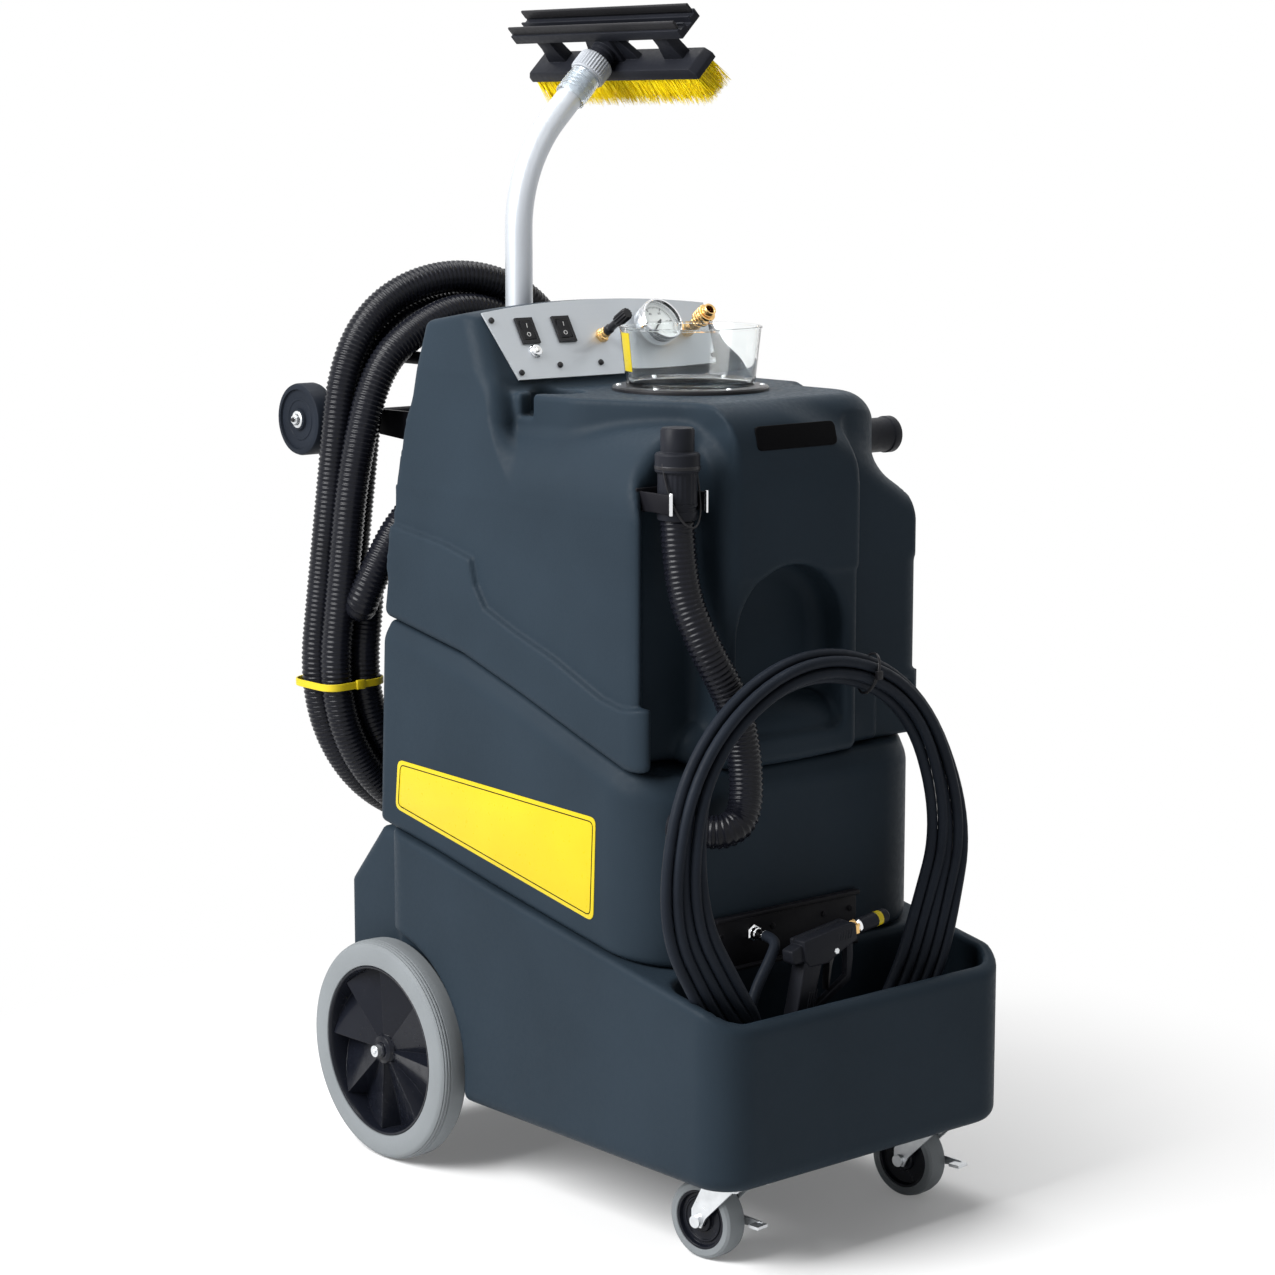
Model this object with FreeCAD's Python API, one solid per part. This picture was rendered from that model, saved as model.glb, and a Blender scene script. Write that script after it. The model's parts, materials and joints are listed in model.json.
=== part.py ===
import FreeCAD, Part
import math
import os

from FreeCAD import Placement, Rotation, Vector

# Touch-free pressure and vacuum cleaning machine on two large wheels and two braked casters.
# Millimetres. Every piece is drawn about the rear axle: X = 0 is the mid-plane, Y = 0 the axle,
# Z = 0 the floor, and the front tray faces -Y. At export all pieces move by one vector, so that
# the origin is the bottom centre of the machine without its free hoses.

X_AXIS = Vector(1, 0, 0)
Y_AXIS = Vector(0, 1, 0)
Z_AXIS = Vector(0, 0, 1)
SIDES = {"left": -1, "right": 1}
RUNNING = 0.05            # radial running clearance of a shaft in its bore
SEAT = 0.3                # gap between curved faces of neighbouring pieces

# ---- base tub ----
base_half_width = 256.0
base_bottom = 114.0
base_front = -687.0
base_rear = 18.0
base_corner = 55.0
base_wall = 18.0
base_floor = 10.0
rim_front_height = 322.0
rim_start = -650.0        # where the side rim starts to climb
rim_start_height = 341.0
rim_slope = 0.183         # climb of the side rim per millimetre towards the rear
tray_back = -552.0        # front face of the wall between tray and machine room
tray_floor = 168.0
room_wall = 14.0
tail_half_width = 222.0   # narrow rear part between the wheels
tail_front = -185.0
tail_rear = 135.0
tail_wall = 10.0
tail_knee_height = 365.0
tail_top_height = 450.0
tail_top_rear = 62.0
wheel_well_radius = 168.0

inlet_at = (-120.0, 236.0)       # X and Z of the power inlet on the rear wall
inlet_radius = 14.0

# ---- tanks ----
tank_half_width = 248.0
tank_front = -548.0
tank_wall = 8.0
tank_corner = 92.0
tank_rear_low = 30.0
seam_line = [(18.0, 752.0), (-156.0, 720.0), (-279.0, 682.0), (-398.0, 642.0), (-483.0, 614.0)]
seam_front_height = 607.0
filler_radius = 25.0
filler_x = 150.0
filler_height = 690.0

upper_half_width = 246.0
upper_shoulder = 945.0
upper_narrow_half = 224.0
upper_front = -550.0
upper_corner = 58.0
deck_height = 1066.0
deck_front_round = 58.0
rear_mid = (0.0, 857.0)
rear_top = (-34.0, 1141.0)
groove_left = -225.0
groove_right = -131.0
groove_depth = 62.0
step_left = 103.0
step_depth = 20.0
arch_left = -110.0
arch_right = 77.0
arch_bottom = 628.0
arch_top = 861.0
arch_depth = 56.0
port_pocket_front = -500.0
port_pocket_rear = -370.0
port_pocket_half = 200.0
port_height = 1000.0
port_reach = 68.0
port_bore_radius = 19.1
cavity_front = -478.0
cavity_side_wall = 10.0
cavity_neck_wall = 28.0
cavity_shoulder = 930.0
cavity_top = 1000.0

# ---- console and control panel ----
panel_low = (-194.0, 1080.0)     # Y and Z of the panel's lower edge, on its front face
panel_lean = 31.4                # degrees from vertical
panel_half_low = 173.0
panel_half_high = 194.0
panel_height = 100.0
panel_crown = 13.0
panel_thickness = 2.0
console_top_rear = (-45.0, 1166.0)
cup_centre = (-140.0, -232.0)    # bottle recess in the deck
cup_radius = 36.0
cup_depth = 30.0

# ---- controls ----
rocker_centres = {"vacuum": -131.0, "pump": -69.0}
rocker_up = 70.0
rocker_width = 20.0
rocker_length = 28.0
bezel_width = 29.0
bezel_length = 38.0
bezel_proud = 3.0
switch_depth = 24.0
breaker_at = (-129.0, 40.0)
breaker_radius = 5.0
regulator_at = (-9.0, 57.0)
gauge_at = (78.0, 60.0)
gauge_radius = 33.0
gauge_depth = 26.0
gauge_stand = 8.0
coupling_at = (139.0, 53.0)
coupling_lean = 5.0
stem_reach = 14.0
coupling_elbow = 16.0
coupling_end = 64.0
coupling_bore_length = 26.0
regulator_stem = 14.0
knob_radius = 8.5
knob_length = 50.0
screw_at = [(-165.0, 10.0), (-97.0, 18.0), (-27.0, 18.0), (172.0, 11.0), (-183.0, 88.0), (183.0, 88.0)]
screw_radius = 4.0

# ---- clear lid ----
lid_centre = (12.0, -321.0)
flange_radius = 103.0
flange_thickness = 6.0
lid_bore = 78.0
lid_low_radius = 84.0
lid_high_radius = 94.0
lid_height = 77.0
lid_wall = 3.0
lid_plug_depth = 18.0

# ---- rear wheels ----
wheel_radius = 152.4
wheel_width = 44.0
wheel_outer = 276.0
rim_radius = 118.0
hub_boss_radius = 22.0
hub_web = 8.0
hub_vanes = 8
axle_radius = 8.0
nut_length = 8.0

# ---- casters ----
caster_x = 180.0
caster_y = -614.0
caster_trail = 35.0
caster_turn = 7.0
caster_radius = 50.8
caster_width = 32.0
caster_tread = 12.0
caster_axle_radius = 5.0
fork_gap = 2.0
fork_sheet = 3.0
crown_thickness = 5.0
crown_gap = 0.4
plate_size = (70.0, 95.0)
plate_thickness = 4.0
kingpin_radius = 6.0

# ---- rear hanger and load wheels ----
load_radius = 50.8
load_width = 33.0
load_outer = 203.0
load_y = 271.5
load_z = 998.0
arm_x = 110.0
arm_sheet = 6.0
arm_height = 34.0
peg_x = 81.9
peg_radius = 9.0
peg_z = 1085.8
peg_end = 236.0
hanger_low = 950.0
hanger_high = 1112.0
hanger_plate = 8.0

# ---- wand ----
wand_y = 23.0
wand_radius = 19.0
wand_wall = 1.6
wand_bottom = 878.0
wand_bend_start = 1265.0
wand_bend_radius = 215.0
wand_bend = 45.0
wand_straight = 100.0
socket_wall = 3.5
socket_top = 1040.0
cuff_start = 40.0
cuff_ring_start = 84.0
cuff_ring_radius = 26.0
cuff_sleeve_radius = 22.5
head_half_length = 181.0
neck_radius = 18.9

# ---- vacuum hose ----
vac_diameter = 46.0
vac_coil_rows = 2
vac_coil_y = 171.0
vac_top_centre = 1007.0
vac_top_radius = 215.0
vac_low_centre = 660.0
vac_low_radius = 275.0
vac_tail_points = [
    (-214.0, 152.0, 680.0),
    (-212.0, 122.0, 735.0),
    (-196.0, 101.0, 798.0),
    (-150.0, 99.0, 868.0),
    (-82.0, 99.0, 912.0),
    (-10.0, 99.0, 920.0),
]
second_cuff_x = 144.0
second_cuff_z = 709.8
second_cuff_lean = 0.14
cuff_length = 90.0
cuff_radius = 27.0
cuff_taper = 3.0
cuff_bore_radius = 19.0
cuff_floor = 10.0
strap_height = 640.0
strap_width = 18.0
strap_sheet = 3.0
strap_slack = 3.0

# ---- drain hose ----
drain_diameter = 44.0
drain_points = [
    (-181.0, -563.0, 544.5),
    (-165.0, -586.0, 541.0),
    (-131.0, -588.0, 560.0),
    (-121.0, -577.0, 628.0),
    (-141.0, -575.0, 706.0),
    (-178.0, -560.0, 776.0),
    (-190.0, -529.0, 850.0),
    (-190.0, -525.0, 930.0),
]
spout_radius = 17.0
spout_length = 26.0
spigot_radius = 13.5
drain_cap_length = 60.0
drain_cap_radius = 25.0

# ---- solution hose and gun ----
sol_diameter = 14.0
sol_coil_y = -628.0
sol_top_centre = (-37.5, 510.0)
sol_top_radius = 255.0
sol_low_centre = (-20.0, 347.0)
sol_low_radius = 178.0
sol_band = 50.0
sol_coil_depth = 42.0
outlet_at = (-88.0, 398.0)
nipple_length = 30.0
shank_radius = 5.8
gun_centre = (-32.0, -630.0, 368.0)
gun_tilt = 7.0
sol_supply_points = [
    (-88.0, -578.0, 398.0),
    (-88.0, -601.0, 398.0),
    (-106.0, -608.0, 378.0),
    (-136.0, -609.0, 338.0),
    (-148.0, -612.0, 296.0),
]
gun_handle_end = (-60.0, -75.0)
gun_tail_points = [
    (-106.0, -630.0, 240.0),
    (-136.0, -630.0, 246.0),
    (-152.0, -629.0, 274.0),
]
gun_half_thickness = 14.0
trigger_pivot = (8.0, 12.0)

# ---- cleaning head ----
holder_x = (-20.0, 24.0)
holder_z = (19.0, 34.0)
blade_height = 13.0
blade_sheet = 4.0
block_x = (-37.0, 7.0)
block_z = (-40.0, -21.0)
bristle_length = 44.0

# ---- standpipe and float ----
standpipe_at = (60.0, -110.0)
standpipe_radius = 25.0
standpipe_top = 940.0
cage_height = 56.0
ball_radius = 18.0


# ---------------------------------------------------------------- basic shapes

def box(x0, x1, y0, y1, z0, z1):
    return Part.makeBox(x1 - x0, y1 - y0, z1 - z0, Vector(x0, y0, z0))


def rod(start, direction, radius, length):
    return Part.makeCylinder(radius, length, Vector(*start), Vector(*direction))


def tube(start, direction, outer, inner, length):
    return rod(start, direction, outer, length).cut(rod(start, direction, inner, length))


def side_prism(points, x0, x1):
    """Prism along X of an outline given as (Y, Z) points."""
    corners = [Vector(x0, y, z) for y, z in points]
    face = Part.Face(Part.makePolygon(corners + corners[:1]))
    return face.extrude(Vector(x1 - x0, 0, 0))


def plan_prism(points, z0, z1):
    """Prism along Z of an outline given as (X, Y) points."""
    corners = [Vector(x, y, z0) for x, y in points]
    face = Part.Face(Part.makePolygon(corners + corners[:1]))
    return face.extrude(Vector(0, 0, z1 - z0))


def vertical_edges(shape, x_test, y_test):
    """Upright edges whose X and Y pass the two tests."""
    found = []
    for edge in shape.Edges:
        ends = [vertex.Point for vertex in edge.Vertexes]
        if len(ends) != 2:
            continue
        upright = abs(ends[0].x - ends[1].x) < 0.01 and abs(ends[0].y - ends[1].y) < 12.0
        if upright and abs(ends[0].z - ends[1].z) > 60.0 and x_test(ends[0].x) and y_test(ends[0].y):
            found.append(edge)
    return found


def mirrored(shape):
    return shape.mirror(Vector(0, 0, 0), X_AXIS)


def joined(shapes):
    result = shapes[0]
    for shape in shapes[1:]:
        result = result.fuse(shape)
    return result.removeSplitter()


# ---------------------------------------------------------------- base tub

def rim_height(y):
    """Height of the side rim above the floor."""
    if y <= rim_start:
        share = (y - base_front) / (rim_start - base_front)
        return rim_front_height + share * (rim_start_height - rim_front_height)
    return rim_start_height + rim_slope * (y - rim_start)


def base_profile():
    return [
        (base_rear, base_bottom),
        (base_front, base_bottom),
        (base_front, rim_front_height),
        (rim_start, rim_start_height),
        (base_rear, rim_height(base_rear)),
    ]


def tail_profile():
    """Side outline of the narrow rear part."""
    return [
        (tail_front, base_bottom),
        (tail_rear, base_bottom),
        (tail_rear, tail_knee_height),
        (tail_top_rear, tail_top_height),
        (base_rear, tail_top_height),
    ]


def tail_room():
    """Side outline of the space in the narrow rear part, open upwards under the solution tank."""
    floor = base_bottom + base_floor
    return [
        (tail_front - 5.0, floor),
        (tail_rear - tail_wall, floor),
        (tail_rear - tail_wall, tail_knee_height - tail_wall / 2),
        (tail_top_rear - tail_wall / 2, tail_top_height - tail_wall),
        (base_rear - tail_wall, tail_top_height - tail_wall),
        (base_rear - tail_wall, 700.0),
        (tail_front - 5.0, 700.0),
    ]


def make_base_tub():
    wide = side_prism(base_profile(), -base_half_width, base_half_width)
    front = vertical_edges(wide, lambda x: True, lambda y: y < base_front + 1)
    wide = wide.makeFillet(base_corner, front)
    for side in SIDES.values():
        well = rod((side * (tail_half_width + 4.0), 0, wheel_radius), (side, 0, 0), wheel_well_radius, 60.0)
        wide = wide.cut(well)
    tail = side_prism(tail_profile(), -tail_half_width, tail_half_width)
    tub = wide.fuse(tail)
    inner = base_half_width - base_wall
    tray = box(-inner, inner, base_front + base_wall, tray_back, tray_floor, 700.0)
    tray_edges = vertical_edges(tray, lambda x: True, lambda y: y < base_front + base_wall + 1)
    tray = tray.makeFillet(base_corner - base_wall, tray_edges)
    room = box(-inner, inner, tray_back + room_wall, tail_front, base_bottom + base_floor, 700.0)
    tail_inner = tail_half_width - tail_wall
    rear_room = side_prism(tail_room(), -tail_inner, tail_inner)
    tub = tub.cut(tray).cut(room).cut(rear_room)
    tub = tub.cut(rod((-300, 0, wheel_radius), (1, 0, 0), axle_radius + RUNNING, 600))
    inlet_hole = rod((inlet_at[0], tail_rear - 20, inlet_at[1]), (0, 1, 0), inlet_radius + SEAT, 40.0)
    return tub.cut(inlet_hole).removeSplitter()


# ---------------------------------------------------------------- tanks

def seam_points(offset, front):
    """Inclined joint between the two tanks, raised by offset, from rear to front."""
    line = [(y, z + offset) for y, z in seam_line]
    return line + [(front, seam_front_height + offset)]


def make_solution_tank():
    outline = [(tank_rear_low, rim_height(tank_rear_low)), (tank_front, rim_height(tank_front))]
    outline += list(reversed(seam_points(0.0, tank_front)))
    tank = side_prism(outline, -tank_half_width, tank_half_width)
    tank = tank.makeFillet(tank_corner, vertical_edges(tank, lambda x: True, lambda y: y < tank_front + 1))
    seam = seam_points(-tank_wall, tank_front + tank_wall)
    rear_inner = (base_rear - tank_wall, seam_line[0][1] - tank_wall)
    hollow = [
        (base_rear, rim_height(base_rear) + tank_wall),
        (tank_front + tank_wall, rim_height(tank_front) + tank_wall),
    ] + list(reversed(seam[1:])) + [rear_inner]
    half = tank_half_width - tank_wall
    cavity = side_prism(hollow, -half, half)
    fronts = vertical_edges(cavity, lambda x: True, lambda y: y < tank_front + tank_wall + 1)
    cavity = cavity.makeFillet(tank_corner - tank_wall, fronts)
    filler = rod((filler_x, 0, filler_height), (0, 1, 0), filler_radius, 60)
    outlet = rod(drain_points[0], drain_axis(), spigot_radius + SEAT, 60.0)
    seat = rod(drain_points[0], drain_axis(), spout_radius + SEAT, spout_length)
    supply = rod((outlet_at[0], tank_front - 5, outlet_at[1]), (0, 1, 0), shank_radius + SEAT, 30.0)
    return tank.cut(cavity).cut(filler).cut(outlet).cut(seat).cut(supply)


def drain_axis():
    """Direction from the outlet's mouth back into the tank."""
    first = Vector(*drain_points[0])
    second = Vector(*drain_points[1])
    back = (first - second).normalize()
    return (back.x, back.y, back.z)


def panel_frame():
    """Placement whose X is across the panel, Y up its slope and Z out of its face."""
    return Placement(Vector(0, panel_low[0], panel_low[1]), Rotation(X_AXIS, 90.0 - panel_lean))


def on_panel(shape):
    shape.Placement = panel_frame().multiply(shape.Placement)
    return shape


def panel_side_point(up, out):
    """Y and Z of a point at a height up the slope and a distance out of the face."""
    lean = math.radians(panel_lean)
    y = panel_low[0] + up * math.sin(lean) - out * math.cos(lean)
    z = panel_low[1] + up * math.cos(lean) + out * math.sin(lean)
    return (y, z)


def panel_foot():
    """Distance down the slope at which the panel's back plane meets the deck."""
    lean = math.radians(panel_lean)
    return (deck_height - panel_low[1] + panel_thickness * math.sin(lean)) / math.cos(lean)


def rear_y(z):
    """Y of the upper tank's sloping rear face at a height."""
    share = (z - rear_mid[1]) / (rear_top[1] - rear_mid[1])
    return rear_mid[0] + share * (rear_top[0] - rear_mid[0])


def upper_outline(top):
    """Side outline of the upper tank up to a level top."""
    rear_seam = seam_line[0]
    rear = [rear_seam, rear_mid, (rear_y(top), top)]
    return rear + [(upper_front, top)] + list(reversed(seam_points(0.0, upper_front)))[:-1]


def tank_hollow(half, top):
    """Inner space of the upper tank between its inclined floor and a level top."""
    floor = [(y, z + tank_wall) for y, z in seam_line if y > cavity_front]
    front_share = (cavity_front - seam_line[-1][0]) / (seam_line[-2][0] - seam_line[-1][0])
    front_floor = seam_line[-1][1] + front_share * (seam_line[-2][1] - seam_line[-1][1]) + tank_wall
    rear = [(rear_y(top) - tank_wall, top)]
    if top > rear_mid[1]:
        rear.append((rear_mid[0] - tank_wall, rear_mid[1]))
    rear.append((rear_mid[0] - tank_wall, seam_line[0][1]))
    outline = [(cavity_front, front_floor), (cavity_front, top)] + rear + floor[1:]
    return side_prism(outline, -half, half)


def make_recovery_tank():
    lower = side_prism(upper_outline(upper_shoulder), -upper_half_width, upper_half_width)
    lower = lower.makeFillet(upper_corner, vertical_edges(lower, lambda x: True, lambda y: y < upper_front + 1))
    outline = [
        (rear_y(upper_shoulder), upper_shoulder),
        rear_top,
        console_top_rear,
        panel_side_point(panel_height + panel_crown, -panel_thickness),
        panel_side_point(panel_foot(), -panel_thickness),
        (upper_front + deck_front_round, deck_height),
        (upper_front + 17.0, deck_height - 17.0),
        (upper_front, deck_height - deck_front_round),
        (upper_front, upper_shoulder),
    ]
    upper = side_prism(outline, -upper_narrow_half, upper_narrow_half)
    tank = lower.fuse(upper)
    groove = box(groove_left, groove_right, upper_front - 5, upper_front + groove_depth, 500, deck_height - 22.0)
    step = box(step_left, 300, upper_front - 5, upper_front + step_depth, 500, 1200)
    arch_mid = (arch_left + arch_right) / 2
    arch_radius = (arch_right - arch_left) / 2
    arch = box(arch_left, arch_right, upper_front - 5, upper_front + arch_depth, arch_bottom, arch_top - arch_radius)
    crown = rod((arch_mid, upper_front - 5, arch_top - arch_radius), (0, 1, 0), arch_radius, arch_depth + 5)
    pocket = box(port_pocket_half, 300, port_pocket_front, port_pocket_rear, upper_shoulder, 1200)
    chamfer = plan_prism([(-300, -600), (-118, -600), (-118, -470), (-176, -330), (-300, -330)], 1010.0, 1200.0)
    bottle = rod((cup_centre[0], cup_centre[1], deck_height - cup_depth), (0, 0, 1), cup_radius, 60)
    neck_slot = box(-300, cup_centre[0], cup_centre[1] - 13, cup_centre[1] + 13, deck_height - cup_depth, 1200)
    for cutter in (groove, step, arch.fuse(crown), pocket, chamfer, bottle, neck_slot):
        tank = tank.cut(cutter)
    tank = tank.cut(tank_hollow(upper_half_width - cavity_side_wall, cavity_shoulder))
    tank = tank.cut(tank_hollow(upper_narrow_half - cavity_neck_wall, cavity_top))
    throat = rod((lid_centre[0], lid_centre[1], cavity_top - 5), (0, 0, 1), lid_bore, 120)
    port_hole = rod((150, port_centre()[1], port_height), (1, 0, 0), port_bore_radius + 0.1, 100)
    tank = tank.cut(throat).cut(port_hole)
    for (x, up), radius in ((regulator_at, 6.5), (gauge_at, 7.0), (coupling_at, 8.0)):
        tank = tank.cut(on_panel(rod((x, up, -stem_reach), (0, 0, 1), radius + SEAT, stem_reach + 4)))
    for name in ("vacuum", "pump"):
        hole = Part.makeBox(rocker_width + 3, rocker_length + 6, 60)
        hole.translate(Vector(rocker_centres[name] - rocker_width / 2 - 1.5, rocker_up - rocker_length / 2 - 3, -40))
        tank = tank.cut(on_panel(hole))
    return tank.removeSplitter()


# ---------------------------------------------------------------- panel and controls

def make_control_panel():
    low, high, height = panel_half_low, panel_half_high, panel_height
    start = Vector(high, height, -panel_thickness)
    crown = Part.Arc(start, Vector(0, height + panel_crown, -panel_thickness), Vector(-high, height, -panel_thickness))
    sides = [Vector(-high, height, 0), Vector(-low, 0, 0), Vector(low, 0, 0), Vector(high, height, 0)]
    sides = [point + Vector(0, 0, -panel_thickness) for point in sides]
    edges = [crown.toShape()] + [Part.LineSegment(a, b).toShape() for a, b in zip(sides, sides[1:])]
    plate = Part.Face(Part.Wire(edges)).extrude(Vector(0, 0, panel_thickness))
    for x in rocker_centres.values():
        plate = plate.cut(box(x - rocker_width / 2 - 1, x + rocker_width / 2 + 1, rocker_up - rocker_length / 2 - 1,
                              rocker_up + rocker_length / 2 + 1, -5, 5))
    for (x, up), radius in ((breaker_at, breaker_radius - 1), (regulator_at, 7.0), (gauge_at, 8.0), (coupling_at, 9.0)):
        plate = plate.cut(rod((x, up, -5), (0, 0, 1), radius, 10))
    return on_panel(plate)


def make_panel_screws():
    heads = []
    for x, up in screw_at:
        head = rod((x, up, 0), (0, 0, 1), screw_radius, 2.4)
        head = head.cut(rod((x, up, 1.2), (0, 0, 1), 1.6, 3))
        heads.append(on_panel(head))
    return Part.Compound(heads)


def make_switch_housings():
    parts = []
    for x in rocker_centres.values():
        half_w, half_l = rocker_width / 2, rocker_length / 2
        frame = box(x - bezel_width / 2, x + bezel_width / 2, rocker_up - bezel_length / 2,
                    rocker_up + bezel_length / 2, 0, bezel_proud)
        body = box(x - half_w - 0.9, x + half_w + 0.9, rocker_up - half_l - 0.9, rocker_up + half_l + 0.9,
                   -switch_depth, 0.5)
        well = box(x - half_w, x + half_w, rocker_up - half_l, rocker_up + half_l, -switch_depth + 3, 20)
        parts.append(on_panel(frame.fuse(body).cut(well).removeSplitter()))
    x, up = breaker_at
    collar = rod((x, up, 0), (0, 0, 1), breaker_radius + 2.5, 4.0)
    barrel = rod((x, up, -panel_thickness), (0, 0, 1), breaker_radius - 1.2, 5.0)
    bore = rod((x, up, -panel_thickness + 1), (0, 0, 1), 3.05, 20.0)
    parts.append(on_panel(collar.fuse(barrel).cut(bore).removeSplitter()))
    return Part.Compound(parts)


def rocker_pivot(name):
    """Centre of a rocker's turning axis in machine coordinates."""
    return panel_frame().multVec(Vector(rocker_centres[name], rocker_up, -2.0))


def make_rocker(name):
    x = rocker_centres[name]
    half_w, half_l = rocker_width / 2 - 0.4, rocker_length / 2 - 1.8
    points = [(-half_l, 1.5), (-half_l + 1.5, -5.0), (half_l - 1.5, -5.0), (half_l, 5.5), (0.0, 3.0)]
    corners = [Vector(x - half_w, rocker_up + u, out) for u, out in points]
    face = Part.Face(Part.makePolygon(corners + corners[:1]))
    return on_panel(face.extrude(Vector(2 * half_w, 0, 0)))


def make_breaker_button():
    x, up = breaker_at
    return on_panel(rod((x, up, -panel_thickness + 3.5), (0, 0, 1), 3.0, 7.0))


def make_regulator_body():
    x, up = regulator_at
    base = rod((x, up, 0), (0, 0, 1), 10.0, 5.0)
    stem = rod((x, up, -12), (0, 0, 1), 6.5, 12 + regulator_stem)
    return on_panel(base.fuse(stem).removeSplitter())


def make_regulator_knob():
    x, up = regulator_at
    knob = rod((x, up, regulator_stem + SEAT), (0, 0, 1), knob_radius, knob_length)
    for k in range(8):
        turn = k * math.pi / 4
        at = (x + (knob_radius + 1) * math.cos(turn), up + (knob_radius + 1) * math.sin(turn), 38)
        knob = knob.cut(rod(at, (0, 0, 1), 1.8, knob_length))
    return on_panel(knob)


def make_gauge_case():
    x, up = gauge_at
    case = rod((x, up, gauge_stand), (0, 0, 1), gauge_radius, gauge_depth)
    case = case.cut(rod((x, up, gauge_stand + 4), (0, 0, 1), gauge_radius - 3, gauge_depth))
    stem = rod((x, up, -14), (0, 0, 1), 7.0, gauge_stand + 15)
    pin = rod((x, up, gauge_stand), (0, 0, 1), 1.5, 14.0)
    dial = rod((x, up, gauge_stand + 12), (0, 0, 1), gauge_radius - 3.2, 1.2)
    ring = tube((x, up, gauge_stand + 4), (0, 0, 1), gauge_radius - 3.2, gauge_radius - 6, 8)
    dial = dial.fuse(ring).cut(rod((x, up, 0), (0, 0, 1), 1.7, 60)).removeSplitter()
    return Part.Compound([on_panel(case.fuse(stem).fuse(pin).removeSplitter()), on_panel(dial)])


def make_gauge_needle():
    x, up = gauge_at
    z = gauge_stand + 14.4
    hub = rod((x, up, z), (0, 0, 1), 3.0, 1.4)
    arm = plan_prism([(x - 1.2, up), (x - 0.4, up + 22), (x + 0.4, up + 22), (x + 1.2, up)], z, z + 1.2)
    tail = box(x - 1.2, x + 1.2, up - 7, up, z, z + 1.2)
    needle = hub.fuse(arm).fuse(tail).removeSplitter()
    needle.rotate(Vector(x, up, 0), Z_AXIS, 135.0)
    return on_panel(needle)


def make_gauge_lens():
    x, up = gauge_at
    return on_panel(rod((x, up, gauge_stand + gauge_depth - 6), (0, 0, 1), gauge_radius - 3.1, 3.0))


def coupling_leaned(shape):
    """Lean a piece drawn along the panel's normal about the coupling's elbow."""
    x, up = coupling_at
    shape.rotate(Vector(x, up, coupling_elbow), X_AXIS, -coupling_lean)
    return on_panel(shape)


def make_coupling_body():
    x, up = coupling_at
    nut = rod((x, up, 0), (0, 0, 1), 12.0, 8.0)
    stem = rod((x, up, -12), (0, 0, 1), 8.0, 22.0)
    elbow = Part.makeSphere(10.5, Vector(x, up, coupling_elbow))
    barrel = coupling_leaned(rod((x, up, 12), (0, 0, 1), 9.0, coupling_end - 12))
    bore = coupling_leaned(rod((x, up, coupling_end - coupling_bore_length), (0, 0, 1), 6.0, 60.0))
    return joined([on_panel(nut), on_panel(stem), on_panel(elbow), barrel]).cut(bore)


def make_coupling_sleeve():
    x, up = coupling_at
    sleeve = tube((x, up, 36), (0, 0, 1), 13.0, 9.0 + RUNNING, 20.0)
    for z in (40.0, 45.0, 50.0):
        sleeve = sleeve.cut(tube((x, up, z), (0, 0, 1), 14.0, 12.0, 2.0))
    return coupling_leaned(sleeve)


# ---------------------------------------------------------------- lid, port and labels

def make_lid_flange_ring():
    x, y = lid_centre
    return tube((x, y, deck_height), (0, 0, 1), flange_radius, lid_bore, flange_thickness)


def make_clear_lid():
    x, y = lid_centre
    base = deck_height + flange_thickness + SEAT
    outer = Part.makeCone(lid_low_radius, lid_high_radius, lid_height, Vector(x, y, base), Z_AXIS)
    inner = Part.makeCone(lid_low_radius - lid_wall, lid_high_radius - lid_wall, lid_height,
                          Vector(x, y, base + lid_wall), Z_AXIS)
    plug = tube((x, y, base - lid_plug_depth), (0, 0, 1), lid_bore - 1.5, lid_bore - 4.5, lid_plug_depth + 1)
    return outer.cut(inner).fuse(plug).removeSplitter()


def port_centre():
    y = (port_pocket_front + port_pocket_rear) / 2
    return (port_pocket_half, y, port_height)


def make_inlet_port():
    x, y, z = port_centre()
    barrel = rod((x - 12, y, z), (1, 0, 0), port_bore_radius, 13.0)
    collar = rod((x, y, z), (1, 0, 0), 30.0, 6.0)
    spout = rod((x + 5, y, z), (1, 0, 0), 23.0, port_reach - 5)
    lip = rod((x + port_reach - 12, y, z), (1, 0, 0), 24.5, 12.0)
    bore = rod((x + 4, y, z), (1, 0, 0), port_bore_radius, 100)
    throat = rod((x - 20, y, z), (1, 0, 0), 16.0, 100)
    return joined([collar, spout, lip, barrel]).cut(bore).cut(throat)


def make_badge_plate():
    plate = box(-76, 48, upper_front - 2.5, upper_front, 0, 29)
    plate = plate.makeFillet(6.0, [e for e in plate.Edges if abs(e.Vertexes[0].Z - e.Vertexes[-1].Z) < 0.01
                                   and abs(e.Vertexes[0].X - e.Vertexes[-1].X) < 0.01])
    plate.translate(Vector(0, 0, deck_height - deck_front_round - 34))
    return plate


def make_side_label():
    corners = [(-19.5, 560.0), (-437.0, 549.0), (-432.0, 414.0), (-13.5, 492.0)]
    sheet = side_prism(corners, -tank_half_width - 0.6, -tank_half_width)
    return sheet


# ---------------------------------------------------------------- rear wheels

def make_rear_tyre(side):
    inner = wheel_outer - wheel_width
    tyre = tube((side * inner, 0, wheel_radius), (side, 0, 0), wheel_radius, rim_radius, wheel_width)
    shoulders = [e for e in tyre.Edges if e.Curve.TypeId == "Part::GeomCircle" and e.Curve.Radius > wheel_radius - 1]
    return tyre.makeFillet(7.0, shoulders)


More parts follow.
